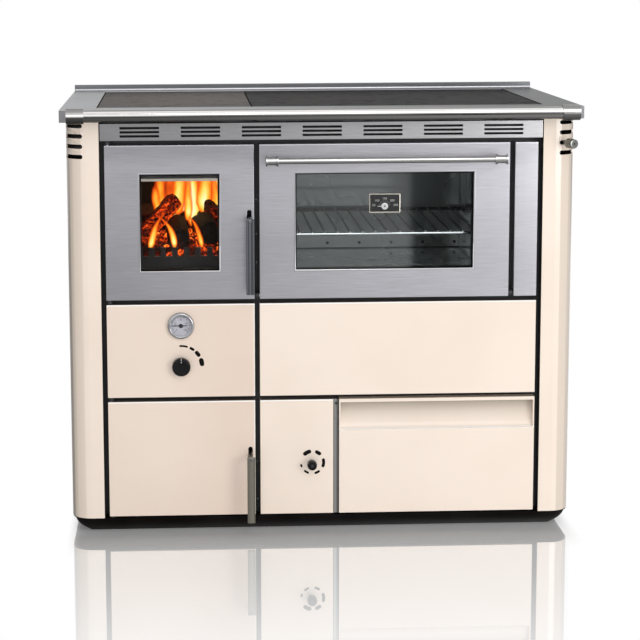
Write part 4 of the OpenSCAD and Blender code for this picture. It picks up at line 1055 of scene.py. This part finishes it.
def grip_detail(finish, shown):
    """Painted shade in the drawer's finger grip, deepest under its upper edge, and a painted highlight where
    it is folded.
    """
    low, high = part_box("drawer_front")
    y, z = map(finish.axis, "YZ")
    inside = finish.step(y, low.y + 0.3 * mm, low.y + 2 * mm) * (y < low.y + 17.5 * mm)
    # Painted shade under the grip's upper edge, and a painted highlight line along the folded edge.
    shade = finish.step(z, high.z - 58 * mm, high.z - 4 * mm) * inside * 0.8
    fold_highlight = (1.0 - finish.step(abs(z - (high.z - 64 * mm)), 0.8 * mm, 1.6 * mm)) * 0.9
    return finish.blend(fold_highlight, finish.blend(shade, shown, (0.36, 0.31, 0.25)), (1.0, 0.97, 0.93))


dress(enamelled("drawer_enamel", cream_paint, grip_detail), "drawer_front", edge=0.6 * mm)
gauge = middle("gauge_bezel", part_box("gauge_bezel")[1].y)
pressed = profile((0, 27.5), (3.6, 27.5), (5.6, 27.0), (7.2, 25.7), (8, 24.2), (8, 22.9), (7.6, 22.2),
                  (6.05, 22.0), (6.05, 23.0), (0, 23.0))
bezel = Work().turned(gauge, forward, pressed, 72, True)
bezel_chrome = chromed("bezel_chrome", (0.40, 0.40, 0.41), 0.22)
bezel.make("gauge_bezel_ring", bezel_chrome, "root", "chrome", "gauge_bezel")
dress(painted("dial_paint", (0.60, 0.59, 0.64), 0.5, 0.7 * mm), "gauge_dial", edge=0)
dress(heat_glass("gauge_pane", (0.97, 0.97, 0.98), 0.03, 1.2), "gauge_glass", edge=0)
ink = painted("dial_ink", (0.02, 0.02, 0.022), 0.5, 0.4 * mm)
dial = gauge + forward * 1.5 * mm
low_end, sweep, numbers = -45.0, 270.0, 5
printed = Work()
for i in range(numbers):
    way = round_about(180 - low_end - sweep * i / (numbers - 1))
    lettering(printed, str(30 * i), dial + way * 12.4 * mm, 5.0 * mm)
for inner, parts, wide in ((15.6 * mm, 12, 0.7 * mm), (17.4 * mm, 48, 0.3 * mm)):
    angles = (low_end + sweep * i / parts for i in range(parts + 1))
    scale_marks(printed, dial, (inner, 19.2 * mm), angles, wide)
printed.make("gauge_print", ink, "root", "pointer")
dress(ink, "gauge_pointer", edge=0.2 * mm)
hand_low, hand_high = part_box("gauge_pointer")
cap = profile((0, 4.3), (0.5, 4.3), (0.8, 3.6))
hub_cap = Work().turned((gauge.x, hand_low.y + 0.1 * mm, gauge.z), forward, cap, 36)
hub_cap.block((gauge.x + 3 * mm, hand_low.y, gauge.z - 0.8 * mm),
              (gauge.x + 12 * mm, hand_high.y, gauge.z + 0.8 * mm))
hub_cap.make("gauge_hub_cap", ink, "gauge_pointer", "pointer")


def printed_arc(work, centre, radius, start, end, width):
    """Mark in the shape of a bent bar with round ends, printed on a face that looks forward."""
    turn, half, rise = end - start, width / 2, forward * 0.12 * mm
    cap, parts = math.degrees(half / radius), 24
    front = [(cap * (1 - math.sin(s)), half * math.cos(s)) for s in (1.5, 1.2, 0.9, 0.6, 0.3)]
    bar = [(cap + (turn - 2 * cap) * i / parts, half) for i in range(parts + 1)]
    rings = []
    for bend, reach in front + bar + [(turn - a, w) for a, w in reversed(front)]:
        way = round_about(start + bend)
        inner, outer = centre + way * (radius - reach), centre + way * (radius + reach)
        rings.append([inner, outer, outer + rise, inner + rise])
    work.skin(rings)


def ribbed(radius, grip, ribs):
    """Radius, by angle, of a knob's grip."""
    return lambda angle: radius * mm - grip * abs(math.sin(angle * ribs / 2))


def control_knob(name, node, finish, grip, ribs, *outline):
    """Turned knob on its shaft; its outline is (along, radius, ribbed or not), in millimetres, out from the
    panel. Returns the middle of its foot on the panel."""
    panel = middle(node, gauge.y)
    rings = [(along, ribbed(radius, grip, ribs) if held else radius) for along, radius, held in outline]
    work = Work().turned(panel, forward, profile(*rings), 240)
    work.turned(panel, backward, profile((-1, 4), (14.9, 4), (15, 7), (18, 7)), 32)
    work.make(name, finish, node, "knob_black", node)
    return panel


gloss_black = painted("gloss_black", (0.005, 0.005, 0.006), 0.30, 0.8 * mm, 0.05, 0.1)
draught = control_knob("draught_thermostat_knob", "draught_knob", gloss_black, 0.35 * mm, 60, (0.3, 18.2, 0),
                       (0.9, 18.9, 1), (2.2, 19.0, 1), (10.5, 18.7, 1), (11.4, 18.5, 0), (13.4, 17.9, 0),
                       (14.6, 16.8, 0), (15.0, 15.2, 0), (15.0, 13.0, 0), (14.7, 12.0, 0))
face, half_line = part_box("draught_knob")[0].y, 0.9 * mm
line = Work().block((draught.x - half_line, face, draught.z + 10.2 * mm),
                    (draught.x + half_line, face + 0.9 * mm, draught.z + 16.0 * mm))
line.skin([[(draught.x + side * half_line, face + (y + deep) * mm, draught.z + (z - drop) * mm)
            for side, deep, drop in ((-1, 0, 0), (1, 0, 0), (1, 1.5, 0.8), (-1, 1.5, 0.8))]
           for y, z in ((0.0, 15.4), (0.35, 17.1), (1.6, 18.1), (4.2, 18.95))])
line.make("draught_knob_line", print_white, "draught_knob", "dial_white")
air = control_knob("air_control_knob", "air_knob", gloss_black, 0.5 * mm, 24, (0.3, 6.8, 0), (7.5, 6.8, 0),
                   (9.5, 9.3, 0), (10.5, 9.9, 1), (11.5, 10.0, 1), (24.0, 10.0, 1), (25.0, 9.8, 1),
                   (26.2, 9.0, 0), (27.0, 7.6, 0), (27.0, 4.2, 0), (26.4, 3.8, 0))
air_face = middle("air_knob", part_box("air_knob")[0].y)
cap_screw = screw(Work(), air_face + backward * 0.7 * mm, forward, 3.0 * mm, 0.2)
cap_screw.make("air_knob_screw", ink, "air_knob", "chrome")
marks = Work()
for start, end, width in ((71, 95, 4.0), (51, 66, 5.4), (28, 47, 8.0), (0, 23, 9.6)):
    printed_arc(marks, draught, 42.5 * mm, start, end, width * mm)
for start, end, width in ((95, 139, 8.4), (42, 76, 7.6), (-27, 20, 6.4), (-79, -49, 5.0), (-135, -107, 4.4),
                          (-172, -155, 4.2)):
    printed_arc(marks, air + Vector((1.5 * mm, 0, 1.0 * mm)), 23.6 * mm, start, end, width * mm)
mark_ink = painted("mark_ink", (0.004, 0.003, 0.003), 0.5, 0.5 * mm, gloss=0.05)
marks.make("control_marks", mark_ink, "root", "pointer")


# Divider strip between the air panel and the wood drawer, held by one countersunk screw.
strip_low, strip_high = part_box("divider_strip")
strip_mid = middle("divider_strip").x
strip_grey = brushed("divider_steel", (0.30, 0.30, 0.31), along_z, 0.36)
# Painted shade: the strip is painted darker to the right of its middle.
shade = strip_grey.step(strip_grey.axis("X"), strip_mid - 1.5 * mm, strip_mid + 3.5 * mm)
strip_grey.feed(Base_Color=strip_grey.blend(shade, (0.29, 0.285, 0.28), (0.10, 0.10, 0.095)))
dress(strip_grey, "divider_strip", edge=0.4 * mm)
sunk = profile((0, 2.6), (0.3, 2.6), (0.45, 2.2), (0.45, hexagon(1.3 * mm)), (-0.6, hexagon(1.2 * mm)))
fixing = Work().turned((strip_mid, strip_low.y, strip_high.z - 9 * mm), forward, sunk, 24)
fixing.make("divider_screw", ink, "root", "chrome")


# Damper lever: a rod that turns in the right-hand post and comes out through its second slot, with a knurled
# knob of turned steel held by a socket screw.
dress(screw_steel, "damper_pivot", edge=0.3 * mm)
pivot, rest = Vector((0.47575, -0.238, 0.8047)), math.radians(22)
rod_way = Vector((math.sin(rest), -math.cos(rest), 0))
eye = profile((-5, 4.1), (-5, 7.4), (-4.4, 8), (4.4, 8), (5, 7.4), (5, 4.1))
rod = Work().turned(pivot, (0, 0, 1), eye, 40, True)
rod.turned(pivot, rod_way, profile((7, 3), (60, 3)), 20)


def knurl(row, radius=10 * mm, depth=0.42 * mm, ribs=16):
    """Radius, by angle, of one row of the crossed grooves that are rolled into a knob."""
    lean = row * 0.7
    return lambda a: radius - depth * (1 - abs(math.sin(ribs * a + lean) * math.sin(ribs * a - lean)))


knurl_foot, knurl_long, knurl_rows = 60.2, 18.6, 22
grip = [(knurl_foot + knurl_long * i / knurl_rows, knurl(i)) for i in range(knurl_rows + 1)]
knob = profile((59, 3), (59, 8.6), (59.8, 9.6), *grip, (79.4, 9.6), (80.6, 9.2), (81, 8.4), (81, 5.6),
               (80.2, 5.2), (80.2, 4.6), (80.9, 4.3), (80.9, hexagon(2.5 * mm)), (77.5, hexagon(2.4 * mm)))
rod.turned(pivot, rod_way, knob, 144)
knurled_steel = chromed("knurled_steel", (0.21, 0.215, 0.20), 0.24)
rod.make("damper_lever_knob", knurled_steel, "damper_lever", "chrome", "damper_lever")


# Studio: a white floor that mirrors the range faintly, white all round, and soft lamps before, above, behind.
# The floor is grey under the range, glows white away from it, and is dimmed by painted shade before it. In
# what the metal mirrors, the floor is brighter to the right and dark where a card is painted far in front.
floor_finish = Finish("studio_floor", Roughness=1.0, Specular_IOR_Level=0.0)
step, half_wide, half_deep, front_y = floor_finish.step, 0.50, 0.30, -0.28
x, y = map(floor_finish.axis, "XY")
past_x, past_y = (abs(x) - half_wide).at_least(0.0), (abs(y) - half_deep).at_least(0.0)
away = (past_x * past_x + past_y * past_y).root()
far = 1.0 - (1.0 - step(past_x, 0.0, 0.03)) * (1.0 - step(past_y, 0.0, 0.14))
viewer_x, viewer_far = -0.28, 3.75
along = (front_y - y) / viewer_far
mirrored_x, seen_x = (x + viewer_x * along) / (1.0 + along), (x - viewer_x * along) / (1.0 - along)
card = step(mirrored_x, 0.172, 0.192) * (1.0 - step(mirrored_x, 0.36, 0.44)) * (y < -2.4)
# Painted shade and reflection: in front of the range the floor's white glow is dimmed, its mirror share
# raised and its mirror tinted cool.
before = (1.0 - step(abs(seen_x), half_wide, 0.522)) * step(front_y - y, -0.02, 0.02)
before = before * (1.0 - step(away, 0.05, 0.9))
mirror_share = 0.42 * (1.0 - step(away, 0.0, 1.5)) + 0.10 * before
white = (0.16 + far * 0.84) * (1.0 - before * 0.14)
glossy_white = (0.42 + 0.62 * step(mirrored_x, -0.6, 0.6)) * (1.0 - card * 0.93)
floor_finish.feed(Base_Color=floor_finish.blend(far, (0.80, 0.80, 0.80), (0.0, 0.0, 0.0)))
hue = floor_finish.blend(before, (1.0, 1.0, 1.0), (0.985, 0.99, 1.0))
mirror = floor_finish.node("BsdfGlossy", {}, {"Color": hue, "Roughness": 0.02})
plain = Wire(floor_finish.tree, floor_finish.shader.outputs[0])
glow = floor_finish.node("Emission", {}, {"Strength": white})
lift = floor_finish.node("AddShader", {}, {0: plain, 1: glow})
mix = floor_finish.node("MixShader", {}, {0: mirror_share, 1: lift, 2: mirror})
in_mirrors = floor_finish.node("Emission", {}, {"Strength": glossy_white})
by_ray = {0: floor_finish.node("LightPath", {}, {}, "Is Glossy Ray"), 1: mix, 2: in_mirrors}
surface = floor_finish.tree.nodes["Material Output"].inputs["Surface"]
floor_finish.tree.links.new(floor_finish.node("MixShader", {}, by_ray).socket, surface)

reach = 60.0
corners = [(-reach, -reach, 0), (reach, -reach, 0), (reach, reach, 0), (-reach, reach, 0)]
mesh = bpy.data.meshes.new("studio_floor")
mesh.from_pydata(corners, [], [(0, 1, 2, 3)])
mesh.materials.append(floor_finish.material)
floor = bpy.data.objects.new("studio_floor", mesh)
bpy.context.scene.collection.objects.link(floor)

world = bpy.data.worlds.new("studio")
world.use_nodes = True
bpy.context.scene.world = world
sky = world.node_tree
back = sky.nodes["Background"]
rays = sky.nodes.new("ShaderNodeLightPath")
ways = ("Camera", "Glossy", "Transmission")
by_eye, by_mirror, by_glass = (Wire(sky, rays.outputs[f"Is {way} Ray"]) for way in ways)
shown = by_eye + by_mirror + by_glass
shown = shown.math("MINIMUM", shown, 1.0)
room_light = 0.37
sky.links.new((room_light + shown * (1.0 - room_light)).socket, back.inputs["Strength"])
back.inputs["Color"].default_value = (1.0, 1.0, 1.0, 1.0)

for name, spot, aim, size, watts in (
    ("key_light", (1.9, -2.6, 1.0), (0.2, 0.0, 0.5), 1.2, 27.0),
    ("high_light", (0.6, -3.0, 2.8), (0.0, 0.0, 0.5), 1.8, 24.0),
    ("fill_light", (-1.2, -3.4, 1.4), (-0.2, 0.0, 0.5), 2.0, 12.0),
    ("top_light", (0.0, 0.3, 3.2), (0.0, 0.0, 0.4), 2.4, 18.0),
    ("rear_light", (2.2, 2.8, 2.8), (0.0, 0.0, 0.4), 1.8, 24.0),
):
    lamp = bpy.data.lights.new(name, "AREA")
    lamp.size, lamp.energy = size, watts
    holder = bpy.data.objects.new(name, lamp)
    holder.location = spot
    holder.rotation_euler = (Vector(aim) - Vector(spot)).to_track_quat("-Z", "Y").to_euler()
    bpy.context.scene.collection.objects.link(holder)

# Camera where the photographer stood, a little left of the middle and above the hob.
turn, tip, lean = (math.radians(a) for a in (-2.288, -8.042, 0.296))
aim = Matrix.Rotation(turn, 4, "Z") @ Matrix.Rotation(tip, 4, "X") @ Matrix.Rotation(lean, 4, "Y")
photo_size, focal_pixels, photo_middle = 640, 1871.0, (256, 230)
camera = bpy.data.cameras.new("camera")
camera.sensor_width = 36.0
camera.lens = focal_pixels / photo_size * camera.sensor_width
camera.shift_x = (photo_size / 2 - photo_middle[0]) / photo_size
camera.shift_y = (photo_middle[1] - photo_size / 2) / photo_size
camera.clip_start, camera.clip_end = 0.05, 100.0
view_point = bpy.data.objects.new("camera", camera)
view_point.matrix_world = (Matrix.Translation((-0.2847, -4.0352, 1.1633)) @ aim
                           @ Matrix.Rotation(math.radians(90), 4, "X"))
bpy.context.scene.collection.objects.link(view_point)
bpy.context.scene.camera = view_point
bpy.context.scene.view_settings.view_transform = "Standard"
bpy.context.scene.cycles.transparent_max_bounces = 32
